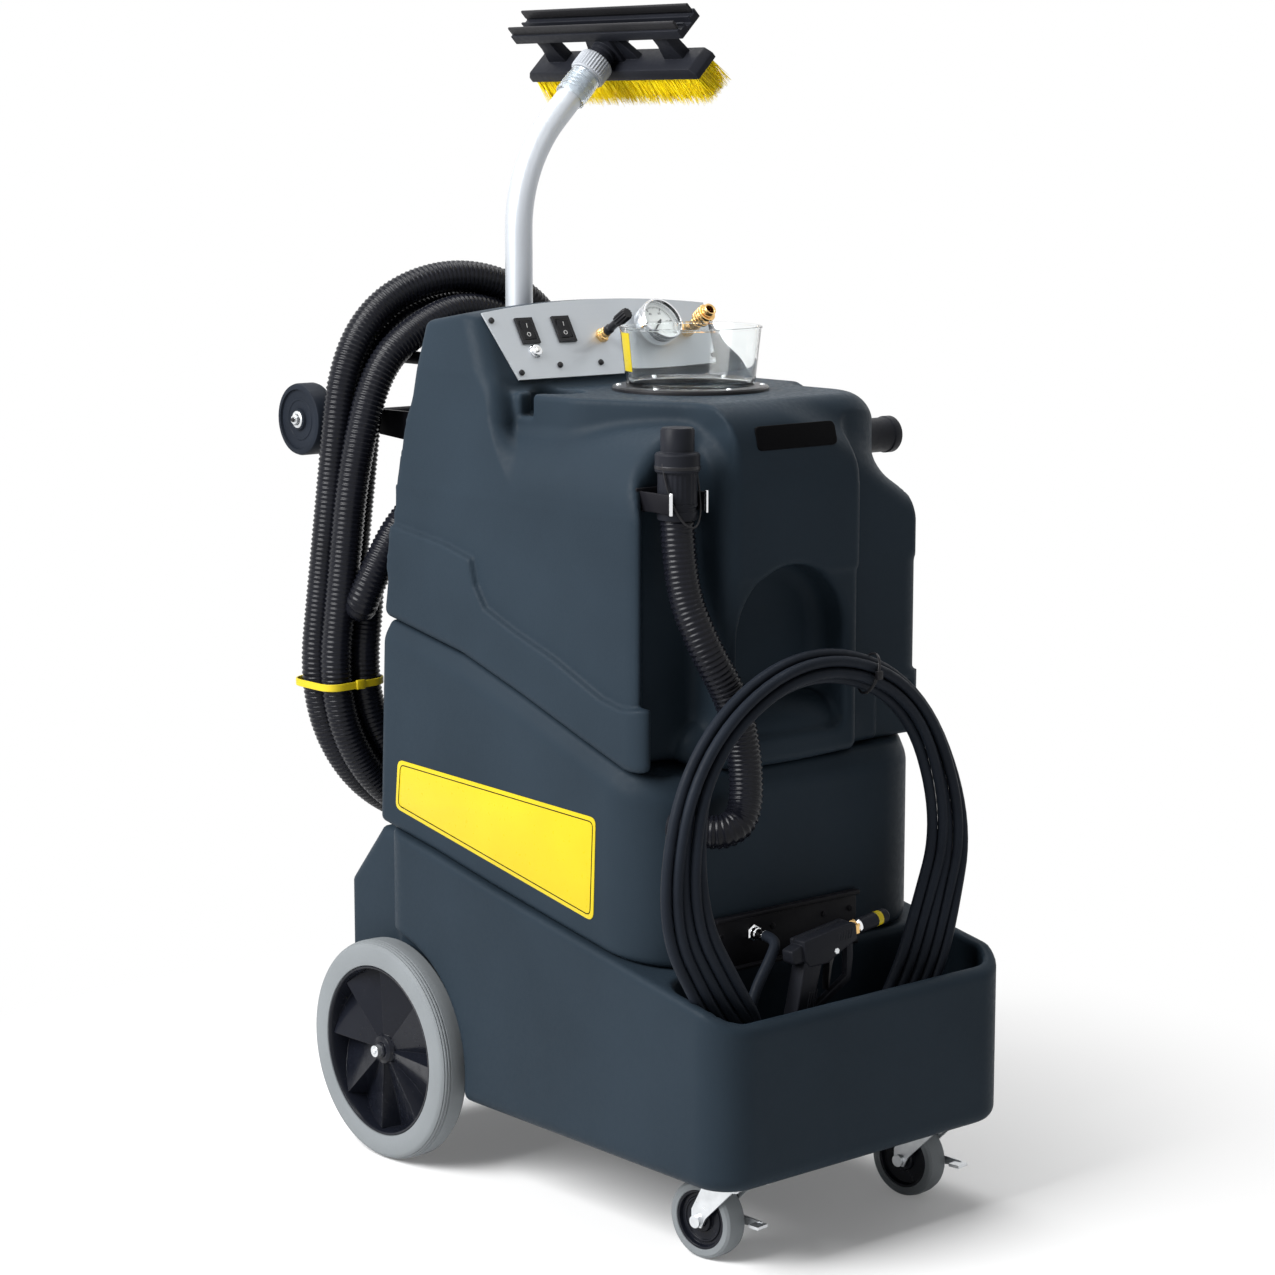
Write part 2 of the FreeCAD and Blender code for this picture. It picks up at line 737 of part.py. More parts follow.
def make_rear_hub(side):
    inner = wheel_outer - wheel_width
    axis = (side, 0, 0)
    mid = inner + wheel_width / 2
    rim = tube((side * (inner + 1), 0, wheel_radius), axis, rim_radius - RUNNING, rim_radius - 7, wheel_width - 2)
    web = rod((side * (mid - hub_web / 2 - 8), 0, wheel_radius), axis, rim_radius - 5, hub_web)
    boss = rod((side * (inner + 1), 0, wheel_radius), axis, hub_boss_radius, wheel_width - 7)
    hub = rim.fuse(web).fuse(boss)
    for k in range(hub_vanes):
        vane = box(0, wheel_width / 2 - 4, -2.5, 2.5, hub_boss_radius - 4, rim_radius - 5)
        vane.translate(Vector(mid - 5, 0, 0))
        vane.rotate(Vector(0, 0, 0), X_AXIS, k * 360.0 / hub_vanes)
        if side < 0:
            vane = mirrored(vane)
        vane.translate(Vector(0, 0, wheel_radius))
        hub = hub.fuse(vane)
    bore = rod((side * (inner - 5), 0, wheel_radius), axis, axle_radius + RUNNING, wheel_width + 20)
    return hub.cut(bore).removeSplitter()


def make_rear_axle():
    reach = wheel_outer + 4.0
    return rod((-reach, 0, wheel_radius), (1, 0, 0), axle_radius, 2 * reach)


def dome_nut(start, direction, radius, length):
    collar = rod(start, direction, radius, length * 0.45)
    end = Vector(*start) + Vector(*direction) * (length * 0.45)
    dome = Part.makeCone(radius * 0.85, radius * 0.45, length * 0.55, end, Vector(*direction))
    return collar.fuse(dome).removeSplitter()


def make_axle_nuts():
    nuts = []
    for side in SIDES.values():
        nut = dome_nut((side * (wheel_outer - 5.5), 0, wheel_radius), (side, 0, 0), 13.0, nut_length + 5.5)
        nuts.append(nut.cut(make_rear_axle()))
        nuts.append(dome_nut((side * (load_outer + 2.3), load_y, load_z), (side, 0, 0), 11.0, 7.0))
    return Part.Compound(nuts)


# ---------------------------------------------------------------- casters

def caster_point(side, x, y, z):
    """Machine coordinates of a point given in a caster's own straight frame."""
    turned = Rotation(Z_AXIS, caster_turn).multVec(Vector(x, y, 0))
    return Vector(side * caster_x + turned.x, caster_y + turned.y, z)


def on_caster(shape, side):
    shape.rotate(Vector(0, 0, 0), Z_AXIS, caster_turn)
    shape.translate(Vector(side * caster_x, caster_y, 0))
    return shape


def crown_top():
    return base_bottom - plate_thickness - crown_gap


def make_caster_plates():
    plates = []
    for side in SIDES.values():
        w, l = plate_size
        plate = box(-w / 2, w / 2, -l / 2, l / 2, base_bottom - plate_thickness, base_bottom)
        pin_low = crown_top() - crown_thickness - crown_gap
        pin = rod((0, 0, pin_low), (0, 0, 1), kingpin_radius, base_bottom - pin_low)
        nut = rod((0, 0, pin_low - 7.0), (0, 0, 1), kingpin_radius + 4.0, 7.0)
        bolts = [rod((x, y, base_bottom - plate_thickness - 3), (0, 0, 1), 5.0, 3.0)
                 for x in (-26, 26) for y in (-39, 39)]
        piece = joined([plate, pin, nut] + bolts)
        piece.translate(Vector(side * caster_x, caster_y, 0))
        plates.append(piece)
    return Part.Compound(plates)


def make_caster_fork(side):
    half = caster_width / 2 + fork_gap
    top = crown_top()
    crown = rod((0, 0, top - crown_thickness), (0, 0, 1), 24.0, crown_thickness)
    bridge = box(-half - fork_sheet, half + fork_sheet, -20, 20, top - crown_thickness, top)
    fork = crown.fuse(bridge)
    outline = [(-20, top), (20, top), (caster_trail + 9, caster_radius + 14), (caster_trail + 9, caster_radius - 8),
               (caster_trail - 7, caster_radius - 8), (caster_trail - 14, caster_radius + 6), (-20, top - 12)]
    fork = fork.fuse(side_prism(outline, half, half + fork_sheet))
    fork = fork.fuse(side_prism(outline, -half - fork_sheet, -half))
    axle = rod((-half - fork_sheet - 5, caster_trail, caster_radius), (1, 0, 0), caster_axle_radius,
               2 * (half + fork_sheet) + 16)
    head = rod((-half - fork_sheet - 5, caster_trail, caster_radius), (1, 0, 0), 8.0, 5)
    fork = fork.fuse(axle).fuse(head)
    fork = fork.cut(rod((0, 0, 60), (0, 0, 1), kingpin_radius + RUNNING, 100))
    return on_caster(fork.removeSplitter(), side)


def make_caster_wheel(side):
    axis = (1, 0, 0)
    start = (-caster_width / 2, caster_trail, caster_radius)
    tread_inner = caster_radius - caster_tread
    tread = tube(start, axis, caster_radius, tread_inner, caster_width)
    edges = [e for e in tread.Edges if e.Curve.TypeId == "Part::GeomCircle" and e.Curve.Radius > caster_radius - 1]
    tread = tread.makeFillet(5.0, edges)
    hub = tube((-caster_width / 2 + 1, caster_trail, caster_radius), axis, tread_inner - RUNNING,
               caster_axle_radius + RUNNING, caster_width - 2)
    ring = tube((caster_width / 2 - 7, caster_trail, caster_radius), axis, tread_inner - 5, 13, 12)
    ring_back = tube((-caster_width / 2 - 5, caster_trail, caster_radius), axis, tread_inner - 5, 13, 12)
    hub = hub.cut(ring).cut(ring_back)
    return Part.Compound([on_caster(tread, side), on_caster(hub, side)])


def make_brake_pedal(side):
    inner = caster_width / 2 + fork_gap + fork_sheet + SEAT
    collar = rod((inner, caster_trail, caster_radius), (1, 0, 0), 10.0, 3.0)
    arm = side_prism([(caster_trail, caster_radius + 8), (caster_trail, caster_radius - 8),
                      (caster_trail - 70, caster_radius - 4), (caster_trail - 70, caster_radius + 4)], inner, inner + 3)
    tab = box(inner - 16, inner + 3, caster_trail - 78, caster_trail - 62, caster_radius - 1, caster_radius + 3)
    pedal = collar.fuse(arm).fuse(tab)
    pedal = pedal.cut(rod((0, caster_trail, caster_radius), (1, 0, 0), caster_axle_radius + RUNNING, 60))
    return on_caster(pedal.removeSplitter(), side)


# ---------------------------------------------------------------- hanger, load wheels, wand

def make_hanger_frame():
    parts = [rod((-load_outer - 2.3, load_y, load_z), (1, 0, 0), axle_radius, 2 * load_outer + 4.6)]
    for side in SIDES.values():
        x0, x1 = sorted((side * (arm_x + arm_sheet), side * (peg_x - peg_radius - 9)))
        plate = side_prism([(rear_y(hanger_low), hanger_low), (rear_y(hanger_high), hanger_high),
                            (rear_y(hanger_high) + hanger_plate, hanger_high),
                            (rear_y(hanger_low) + hanger_plate, hanger_low)], x0, x1)
        a0, a1 = sorted((side * (arm_x + arm_sheet), side * arm_x))
        arm = side_prism([(rear_y(load_z) + 4, load_z - arm_height), (load_y + 14, load_z - 14),
                          (load_y + 14, load_z + 14), (rear_y(load_z) + 1, load_z + arm_height / 2)], a0, a1)
        peg = rod((side * peg_x, rear_y(peg_z) + 6, peg_z), (0, 1, 0), peg_radius, peg_end - rear_y(peg_z) - 6)
        tip = rod((side * peg_x, peg_end - 8, peg_z), (0, 0, 1), peg_radius - 1, 30)
        parts += [plate, arm, peg, tip]
    return joined(parts)


def make_load_wheel(side):
    inner = load_outer - load_width
    wheel = rod((side * inner, load_y, load_z), (side, 0, 0), load_radius, load_width)
    edges = [e for e in wheel.Edges if e.Curve.TypeId == "Part::GeomCircle"]
    wheel = wheel.makeFillet(4.0, edges)
    dish = tube((side * (load_outer - 4), load_y, load_z), (side, 0, 0), load_radius - 9, 14, 10)
    bore = rod((side * (inner - 5), load_y, load_z), (side, 0, 0), axle_radius + RUNNING, 60)
    return wheel.cut(dish).cut(bore)


def make_wand_socket():
    outer = wand_radius + RUNNING + socket_wall
    cup = rod((0, wand_y, wand_bottom - socket_wall), (0, 0, 1), outer, socket_top - wand_bottom + socket_wall)
    low, high = wand_bottom + 22, socket_top
    rib = side_prism([(rear_y(low), low), (rear_y(high), high), (wand_y, high), (wand_y, low)], -14, 14)
    bore = rod((0, wand_y, wand_bottom), (0, 0, 1), wand_radius + RUNNING, 400)
    return cup.fuse(rib).cut(bore).removeSplitter()


def wand_end():
    """Point and direction where the wand's straight end begins."""
    bend = math.radians(wand_bend)
    x = wand_bend_radius * (1 - math.cos(bend))
    z = wand_bend_start + wand_bend_radius * math.sin(bend)
    return Vector(x, wand_y, z), Vector(math.sin(bend), 0, math.cos(bend))


def wand_pipe(radius, short):
    """Solid following the wand from its foot to short of its end."""
    turn, direction = wand_end()
    foot = Vector(0, wand_y, wand_bottom)
    knee = Vector(0, wand_y, wand_bend_start)
    half = math.radians(wand_bend / 2)
    mid = Vector(wand_bend_radius * (1 - math.cos(half)), wand_y, wand_bend_start + wand_bend_radius * math.sin(half))
    end = turn + direction * (wand_straight - short)
    path = Part.Wire([Part.LineSegment(foot, knee).toShape(), Part.Arc(knee, mid, turn).toShape(),
                      Part.LineSegment(turn, end).toShape()])
    ring = Part.Wire([Part.Circle(foot, Z_AXIS, radius).toShape()])
    return path.makePipeShell([ring], True, False)


def make_wand_tube():
    return wand_pipe(wand_radius, 4.0).cut(wand_pipe(wand_radius - wand_wall, 4.0))


def along_wand(distance):
    turn, direction = wand_end()
    return turn + direction * distance


def make_wand_cuff():
    direction = wand_end()[1]
    ring_end = wand_straight + 10.0
    sleeve = Part.makeCylinder(cuff_sleeve_radius, ring_end - cuff_start, along_wand(cuff_start), direction)
    ring = Part.makeCylinder(cuff_ring_radius, ring_end - cuff_ring_start, along_wand(cuff_ring_start), direction)
    bore = Part.makeCylinder(wand_radius + RUNNING, 200, along_wand(cuff_start - 5), direction)
    return sleeve.fuse(ring).cut(bore).removeSplitter()


def head_placement():
    """Frame of the cleaning head: X along the wand's end, Y the machine's Y, Z towards the squeegee."""
    direction = wand_end()[1]
    origin = along_wand(wand_straight + 50.0)
    return Placement(origin, Rotation(Y_AXIS, math.degrees(math.atan2(direction.x, direction.z)) - 90.0))


def on_head(shape):
    shape.Placement = head_placement().multiply(shape.Placement)
    return shape


def make_head_frame():
    half = head_half_length
    holder = box(holder_x[0], holder_x[1], -half, half, holder_z[0], holder_z[1])
    slot = box(-6, 10, -half + 20, half - 20, holder_z[0] + 5, holder_z[1] + 5)
    block = box(block_x[0], block_x[1], -half, half, block_z[0], block_z[1])
    posts = [box(-18, 4, y - 14, y + 14, block_z[1] - 2, holder_z[0] + 2) for y in (-126, 126)]
    neck = rod((-48.0, 0, 0), (1, 0, 0), neck_radius, 64.0)
    bore = rod((-60.0, 0, 0), (1, 0, 0), neck_radius - 3.0, 62.0)
    throat = rod((-8.0, 0, 8), (0, 0, 1), 7.0, 30.0)
    web = box(-20, 4, -24, 24, block_z[1] - 2, holder_z[0] + 2)
    head = joined([holder.cut(slot), block, neck, web] + posts)
    return on_head(head.cut(bore).cut(throat))


def make_squeegee_blades():
    blades = []
    for x in (holder_x[0] + 3, holder_x[1] - 3 - blade_sheet):
        blades.append(on_head(box(x, x + blade_sheet, -head_half_length + 2, head_half_length - 2,
                                  holder_z[1], holder_z[1] + blade_height)))
    return Part.Compound(blades)


def make_brush_bristles():
    """Solid that the brush's tufts fill, flared towards the tips."""
    low, high = block_z[0] - bristle_length, block_z[0]
    points = [(block_x[0] + 3, high), (block_x[0] - 1, low), (block_x[1] + 6, low), (block_x[1] - 3, high)]
    corners = [Vector(x, -head_half_length + 4, z) for x, z in points]
    face = Part.Face(Part.makePolygon(corners + corners[:1]))
    return on_head(face.extrude(Vector(0, 2 * head_half_length - 8, 0)))


# ---------------------------------------------------------------- free hoses

def egg_wire(y, low_radius, top_radius, distance):
    """Upright outline of two circles and their outer tangents in the plane Y = y, low circle at the origin."""
    lean = math.asin((low_radius - top_radius) / distance)
    c, s = math.cos(lean), math.sin(lean)
    right_low = Vector(low_radius * c, y, low_radius * s)
    right_top = Vector(top_radius * c, y, distance + top_radius * s)
    left_low = Vector(-right_low.x, y, right_low.z)
    left_top = Vector(-right_top.x, y, right_top.z)
    edges = [
        Part.LineSegment(right_low, right_top).toShape(),
        Part.Arc(right_top, Vector(0, y, distance + top_radius), left_top).toShape(),
        Part.LineSegment(left_top, left_low).toShape(),
        Part.Arc(left_low, Vector(0, y, -low_radius), right_low).toShape(),
    ]
    return Part.Wire(edges)


def egg_ring(low, low_radius, top, top_radius, centre_y, depth, band):
    """Flat ring round two circles with centres low and top, given as (X, Z)."""
    across, up = top[0] - low[0], top[1] - low[1]
    distance = math.hypot(across, up)
    outer = Part.Face(egg_wire(-depth / 2, low_radius, top_radius, distance)).extrude(Vector(0, depth, 0))
    inner = Part.Face(egg_wire(-depth, low_radius - band, top_radius - band, distance))
    ring = outer.cut(inner.extrude(Vector(0, 2 * depth, 0)))
    ring.rotate(Vector(0, 0, 0), Y_AXIS, math.degrees(math.atan2(across, up)))
    ring.translate(Vector(low[0], centre_y, low[1]))
    return ring


def cord_path(points):
    """Straight runs joined by the largest tangent arcs that they allow; prints each radius."""
    spots = [Vector(*point) for point in points]
    edges = []
    radii = []
    start = spots[0]
    for before, here, after in zip(spots, spots[1:], spots[2:]):
        back, ahead = (before - here), (after - here)
        shorter = min(back.Length, ahead.Length)
        back, ahead = back.normalize(), ahead.normalize()
        turn = math.pi - back.getAngle(ahead)
        radii.append(0.45 * shorter / math.tan(turn / 2))
        cut = 0.45 * shorter
        first, last = here + back * cut, here + ahead * cut
        bisector = (back + ahead).normalize()
        middle = here + bisector * (radii[-1] * (1 / math.cos(turn / 2) - 1))
        edges.append(Part.LineSegment(start, first).toShape())
        edges.append(Part.Arc(first, middle, last).toShape())
        start = last
    edges.append(Part.LineSegment(start, spots[-1]).toShape())
    return Part.Wire(edges), radii


def cord_tube(name, points, diameter):
    path, radii = cord_path(points)
    start = Vector(*points[0])
    along = Vector(*points[1]) - start
    ring = Part.Wire([Part.Circle(start, along, diameter / 2).toShape()])
    solid = path.makePipeShell([ring], True, False)
    share = solid.Volume / (math.pi * diameter ** 2 / 4 * path.Length)
    print(name, "length", round(path.Length, 1), "volume share", round(share, 4),
          "radii", [round(radius, 1) for radius in radii])
    return solid


def make_vacuum_hose_coil():
    band = vac_coil_rows * vac_diameter
    return egg_ring((0.0, vac_low_centre), vac_low_radius, (0.0, vac_top_centre), vac_top_radius,
                    vac_coil_y, band, band)


def make_vacuum_hose_tail():
    return cord_tube("vacuum hose tail", vac_tail_points, vac_diameter)


def cuff(start, direction):
    """Tapered end sleeve with an open mouth, its closed end over the hose's end."""
    along = Vector(*direction).normalize()
    outer = Part.makeCone(cuff_radius, cuff_radius - cuff_taper, cuff_length, Vector(*start), along)
    mouth = Part.makeCylinder(cuff_bore_radius, cuff_length, Vector(*start) + along * cuff_floor, along)
    return outer.cut(mouth)


def second_cuff_start():
    return (second_cuff_x, vac_coil_y, second_cuff_z)


def make_vacuum_hose_cuffs():
    last, before = Vector(*vac_tail_points[-1]), Vector(*vac_tail_points[-2])
    first = cuff(vac_tail_points[-1], tuple(last - before))
    second = cuff(second_cuff_start(), (-second_cuff_lean, 0, 1))
    return Part.Compound([first, second])


def make_hose_strap():
    """Band round the left strands of the hanging hose."""
    half = vac_diameter + SEAT
    outer_x = -(vac_low_radius + SEAT)
    inner_x = -(vac_low_radius - 2 * vac_diameter - strap_slack)
    hole = box(outer_x, inner_x, vac_coil_y - half, vac_coil_y + half, strap_height - 20, strap_height + 20)
    band = box(outer_x - strap_sheet, inner_x + strap_sheet, vac_coil_y - half - strap_sheet,
               vac_coil_y + half + strap_sheet, strap_height - strap_width / 2, strap_height + strap_width / 2)
    return band.cut(hole)


def make_drain_hose():
    return cord_tube("drain hose", drain_points, drain_diameter)


def make_drain_cap():
    last, before = Vector(*drain_points[-1]), Vector(*drain_points[-2])
    along = (last - before).normalize()
    sleeve = Part.makeCylinder(drain_cap_radius, drain_cap_length, last, along)
    cap = Part.makeCylinder(drain_cap_radius + 3.0, 22.0, last + along * drain_cap_length, along)
    neck = Part.makeCylinder(drain_cap_radius - 4.0, 34.0, last + along * (drain_cap_length + 20), along)
    return joined([sleeve, cap, neck])


def make_tank_outlets():
    mouth = Vector(*drain_points[0])
    back = Vector(*drain_axis())
    spout = Part.makeCylinder(spout_radius, spout_length, mouth, back)
    spigot = Part.makeCylinder(spigot_radius, 44.0, mouth, back)
    drain = spout.fuse(spigot).cut(Part.makeCylinder(10.0, 80.0, mouth, back))
    x, z = outlet_at
    nipple = rod((x, tank_front - nipple_length, z), (0, 1, 0), 6.8, nipple_length)
    hexagon = rod((x, tank_front - 10, z), (0, 1, 0), 11.0, 10)
    shank = rod((x, tank_front - 2, z), (0, 1, 0), shank_radius, 22)
    bore = rod((x, tank_front - 40, z), (0, 1, 0), 3.0, 80)
    fitting = nipple.fuse(hexagon).fuse(shank).cut(bore)
    return Part.Compound([drain.removeSplitter(), fitting.removeSplitter()])


def make_solution_hose_coil():
    return egg_ring(sol_low_centre, sol_low_radius, sol_top_centre, sol_top_radius,
                    sol_coil_y, sol_coil_depth, sol_band)


def gun_tail_route():
    """Route of the hose from the foot of the gun's grip to the coil."""
    foot = gun_placement().multVec(Vector(gun_handle_end[0], 0, gun_handle_end[1]))
    down = gun_placement().Rotation.multVec(Vector(-10, 0, -28)).normalize()
    knee = foot + down * 26.0
    return [tuple(foot), tuple(knee)] + gun_tail_points


def make_solution_hose_tails():
    supply = cord_tube("supply tail", sol_supply_points, sol_diameter)
    gun = cord_tube("gun tail", gun_tail_route(), sol_diameter)
    return Part.Compound([supply, gun])


# ---------------------------------------------------------------- spray gun

def gun_placement():
    return Placement(Vector(*gun_centre), Rotation(Y_AXIS, -gun_tilt))


def on_gun(shape):
    shape.Placement = gun_placement().multiply(shape.Placement)
    return shape


def gun_prism(points, half):
    corners = [Vector(x, -half, z) for x, z in points]
    face = Part.Face(Part.makePolygon(corners + corners[:1]))
    return face.extrude(Vector(0, 2 * half, 0))


def make_gun_body():
    barrel = gun_prism([(-46, 40), (44, 40), (46, 16), (18, 8), (-8, -2), (-40, 4), (-46, 14)], gun_half_thickness)
    back = gun_prism([(-64, 32), (-44, 34), (-44, 12), (-64, 12)], 10.0)
    grip = gun_prism([(-44, 10), (-14, 4), (-46, -80), (-74, -70)], 12.0)
    guard = gun_prism([(36, 20), (46, 20), (38, -36), (-24, -60), (-30, -54), (30, -28)], 5.0)
    body = joined([barrel, back, grip, guard])
    x, z = trigger_pivot
    pin_hole = rod((x, -30, z), (0, 1, 0), 2.0, 60)
    slot = gun_prism([(x - 16, z - 28), (x + 9, z - 28), (x + 9, z + 12), (x - 16, z + 12)], 6.3)
    body = body.cut(slot).cut(pin_hole)
    return on_gun(body.removeSplitter())


def make_gun_trigger():
    x, z = trigger_pivot
    lever = gun_prism([(x - 6, z + 6), (x + 6, z + 6), (x + 5, z - 8), (x - 6, z - 40), (x - 12, z - 38), (x - 5, z - 8)], 6.0)
    pin = rod((x, -13.5, z), (0, 1, 0), 2.0 - RUNNING, 27)
    return on_gun(lever.fuse(pin).removeSplitter())


def make_gun_nozzle():
    nut = rod((46.0, 0, 27), (1, 0, 0), 11.0, 16.0)
    stem = rod((46.0, 0, 27), (1, 0, 0), 6.5, 26.0)
    lance = rod((64.0, 0, 27), (1, 0, 0), 9.5, 46.0)
    bore = rod((70.0, 0, 27), (1, 0, 0), 3.5, 60.0)
    return on_gun(nut.fuse(stem).fuse(lance).cut(bore).removeSplitter())


# ---------------------------------------------------------------- pieces inside

def make_vacuum_motor():
    x, y, z = -95.0, -330.0, base_bottom + base_floor
    can = rod((x, y, z), (0, 0, 1), 72.0, 60.0)
    body = rod((x, y, z + 60), (0, 0, 1), 58.0, 70.0)
    horn = rod((x, y - 40, z + 28), (1, 0, 0), 20.0, 90.0)
    return can.fuse(body).fuse(horn).removeSplitter()


def make_solution_pump():
    x, y, z = 120.0, -330.0, base_bottom + base_floor
    foot = box(x - 45, x + 45, y - 70, y + 70, z, z + 8)
    motor = rod((x, y - 60, z + 52), (0, 1, 0), 42.0, 80.0)
    saddle = box(x - 30, x + 30, y - 60, y + 20, z + 8, z + 30)
    head = box(x - 36, x + 36, y + 20, y + 66, z + 8, z + 96)
    return joined([foot, motor, saddle, head])


def make_standpipe():
    x, y = standpipe_at
    pipe = tube((x, y, 600), (0, 0, 1), standpipe_radius, standpipe_radius - 3, standpipe_top - 600)
    below = side_prism([(200.0, 500.0), (-700.0, 500.0), (-700.0, seam_front_height + tank_wall)] +
                       list(reversed(seam_points(tank_wall, -550.0)))[1:] +
                       [(200.0, seam_line[0][1] + tank_wall)], -300, 300)
    pipe = pipe.cut(below)
    floor = rod((x, y, standpipe_top), (0, 0, 1), standpipe_radius, 3.0)
    posts = [rod((x + 22.3 * math.cos(k * math.pi / 2), y + 22.3 * math.sin(k * math.pi / 2), standpipe_top),
                 (0, 0, 1), 2.5, cage_height) for k in range(4)]
    roof = tube((x, y, standpipe_top + cage_height - 3), (0, 0, 1), standpipe_radius, 12.0, 3.0)
    cage = joined([floor, roof] + posts)
    return Part.Compound([pipe, cage])


def make_float_ball():
    x, y = standpipe_at
    return Part.makeSphere(ball_radius, Vector(x, y, standpipe_top + 3.0 + ball_radius + RUNNING))


def make_power_inlet():
    x, z = inlet_at
    flange = box(x - 20, x + 20, tail_rear, tail_rear + 5, z - 20, z + 20)
    well = rod((x, tail_rear + 5, z), (0, 1, 0), 16.0, 14.0)
    body = rod((x, tail_rear - tail_wall - 12, z), (0, 1, 0), inlet_radius, tail_wall + 14)
    mouth = rod((x, tail_rear + 6, z), (0, 1, 0), 13.0, 20.0)
    return flange.fuse(well).fuse(body).cut(mouth).removeSplitter()


# ---------------------------------------------------------------- assembly

def build_pieces():
    pieces = {
        "base_tub": make_base_tub(),
        "solution_tank": make_solution_tank(),
        "recovery_tank": make_recovery_tank(),
        "control_panel": make_control_panel(),
        "panel_screws": make_panel_screws(),
        "switch_housings": make_switch_housings(),
        "rocker_vacuum": make_rocker("vacuum"),
        "rocker_pump": make_rocker("pump"),
        "breaker_button": make_breaker_button(),
        "regulator_body": make_regulator_body(),
        "regulator_knob": make_regulator_knob(),
        "gauge_case": make_gauge_case(),
        "gauge_needle": make_gauge_needle(),
        "gauge_lens": make_gauge_lens(),
        "coupling_body": make_coupling_body(),
        "coupling_sleeve": make_coupling_sleeve(),
        "lid_flange_ring": make_lid_flange_ring(),
        "clear_lid": make_clear_lid(),
        "inlet_port": make_inlet_port(),
        "badge_plate": make_badge_plate(),
        "side_label": make_side_label(),
        "rear_axle": make_rear_axle(),
        "axle_nuts": make_axle_nuts(),
        "caster_plates": make_caster_plates(),
        "hanger_frame": make_hanger_frame(),
        "wand_socket": make_wand_socket(),
        "wand_tube": make_wand_tube(),
        "wand_cuff": make_wand_cuff(),
        "head_frame": make_head_frame(),
        "squeegee_blades": make_squeegee_blades(),
        "brush_bristles": make_brush_bristles(),
        "vacuum_hose_coil": make_vacuum_hose_coil(),
        "vacuum_hose_tail": make_vacuum_hose_tail(),
        "vacuum_hose_cuffs": make_vacuum_hose_cuffs(),
        "hose_strap": make_hose_strap(),
        "drain_hose": make_drain_hose(),
        "drain_cap": make_drain_cap(),
        "tank_outlets": make_tank_outlets(),
        "solution_hose_coil": make_solution_hose_coil(),
        "solution_hose_tails": make_solution_hose_tails(),
        "gun_body": make_gun_body(),
        "gun_trigger": make_gun_trigger(),
        "gun_nozzle": make_gun_nozzle(),
        "vacuum_motor": make_vacuum_motor(),
        "solution_pump": make_solution_pump(),
        "standpipe": make_standpipe(),
        "float_ball": make_float_ball(),
        "power_inlet": make_power_inlet(),
    }
    for name, side in SIDES.items():
        pieces["rear_tyre_" + name] = make_rear_tyre(side)
        pieces["rear_hub_" + name] = make_rear_hub(side)
        pieces["caster_fork_" + name] = make_caster_fork(side)
        pieces["caster_wheel_" + name] = make_caster_wheel(side)
        pieces["brake_pedal_" + name] = make_brake_pedal(side)
        pieces["load_wheel_" + name] = make_load_wheel(side)
    return pieces


FREE_HOSES = ("vacuum_hose_coil", "vacuum_hose_tail", "vacuum_hose_cuffs", "hose_strap", "drain_hose", "drain_cap",
              "solution_hose_coil", "solution_hose_tails")


def origin_shift(pieces):
    """Vector that brings the bottom centre of the machine without its free hoses to the origin."""
    whole = FreeCAD.BoundBox()
    for name, shape in pieces.items():
        if name not in FREE_HOSES:
            whole.add(shape.optimalBoundingBox(False))
    return Vector(-(whole.XMin + whole.XMax) / 2, -(whole.YMin + whole.YMax) / 2, -whole.ZMin)


def main():
    os.makedirs("parts", exist_ok=True)
    pieces = build_pieces()
    shift = origin_shift(pieces)
    print("origin shift", [round(value, 3) for value in shift])
    for name, shape in pieces.items():
        shape.translate(shift)
        solids = shape.Solids
        if not solids or not shape.isValid():
            raise RuntimeError(name + " isn't a valid solid")
        shape.exportStep("parts/" + name + ".step")
    for name in SIDES:
        side = SIDES[name]
        swivel = caster_point(side, 0, 0, crown_top()) + shift
        wheel = caster_point(side, 0, caster_trail, caster_radius) + shift
        print("caster", name, "swivel", tuple(swivel), "wheel", tuple(wheel))
    for name in rocker_centres:
        print("rocker", name, tuple(rocker_pivot(name) + shift))
    probe = coupling_leaned(Part.Vertex(coupling_at[0], coupling_at[1], coupling_end - coupling_bore_length / 2))
    print("coupling bore middle", tuple(probe.Point + shift))
    print("panel origin", tuple(panel_frame().Base + shift))
    print("trigger pivot", tuple(gun_placement().multVec(Vector(trigger_pivot[0], 0, trigger_pivot[1])) + shift))
    print("pieces", len(pieces))


main()
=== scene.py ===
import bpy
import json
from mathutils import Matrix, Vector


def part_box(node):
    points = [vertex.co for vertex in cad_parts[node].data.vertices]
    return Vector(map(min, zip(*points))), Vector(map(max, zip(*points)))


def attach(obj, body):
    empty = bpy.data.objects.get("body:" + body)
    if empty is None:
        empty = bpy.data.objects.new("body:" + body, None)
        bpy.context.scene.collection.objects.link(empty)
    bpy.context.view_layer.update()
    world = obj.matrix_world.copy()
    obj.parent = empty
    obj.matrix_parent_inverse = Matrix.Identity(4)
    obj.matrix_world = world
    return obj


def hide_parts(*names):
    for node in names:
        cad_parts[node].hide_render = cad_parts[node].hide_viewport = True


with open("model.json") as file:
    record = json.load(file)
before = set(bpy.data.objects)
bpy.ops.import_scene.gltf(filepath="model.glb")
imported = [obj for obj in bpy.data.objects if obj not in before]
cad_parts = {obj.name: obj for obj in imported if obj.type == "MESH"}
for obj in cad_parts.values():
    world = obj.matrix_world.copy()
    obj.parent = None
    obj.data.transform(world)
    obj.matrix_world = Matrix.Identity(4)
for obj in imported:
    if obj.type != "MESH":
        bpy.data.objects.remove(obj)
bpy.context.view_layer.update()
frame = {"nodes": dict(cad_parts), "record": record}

import json
import math

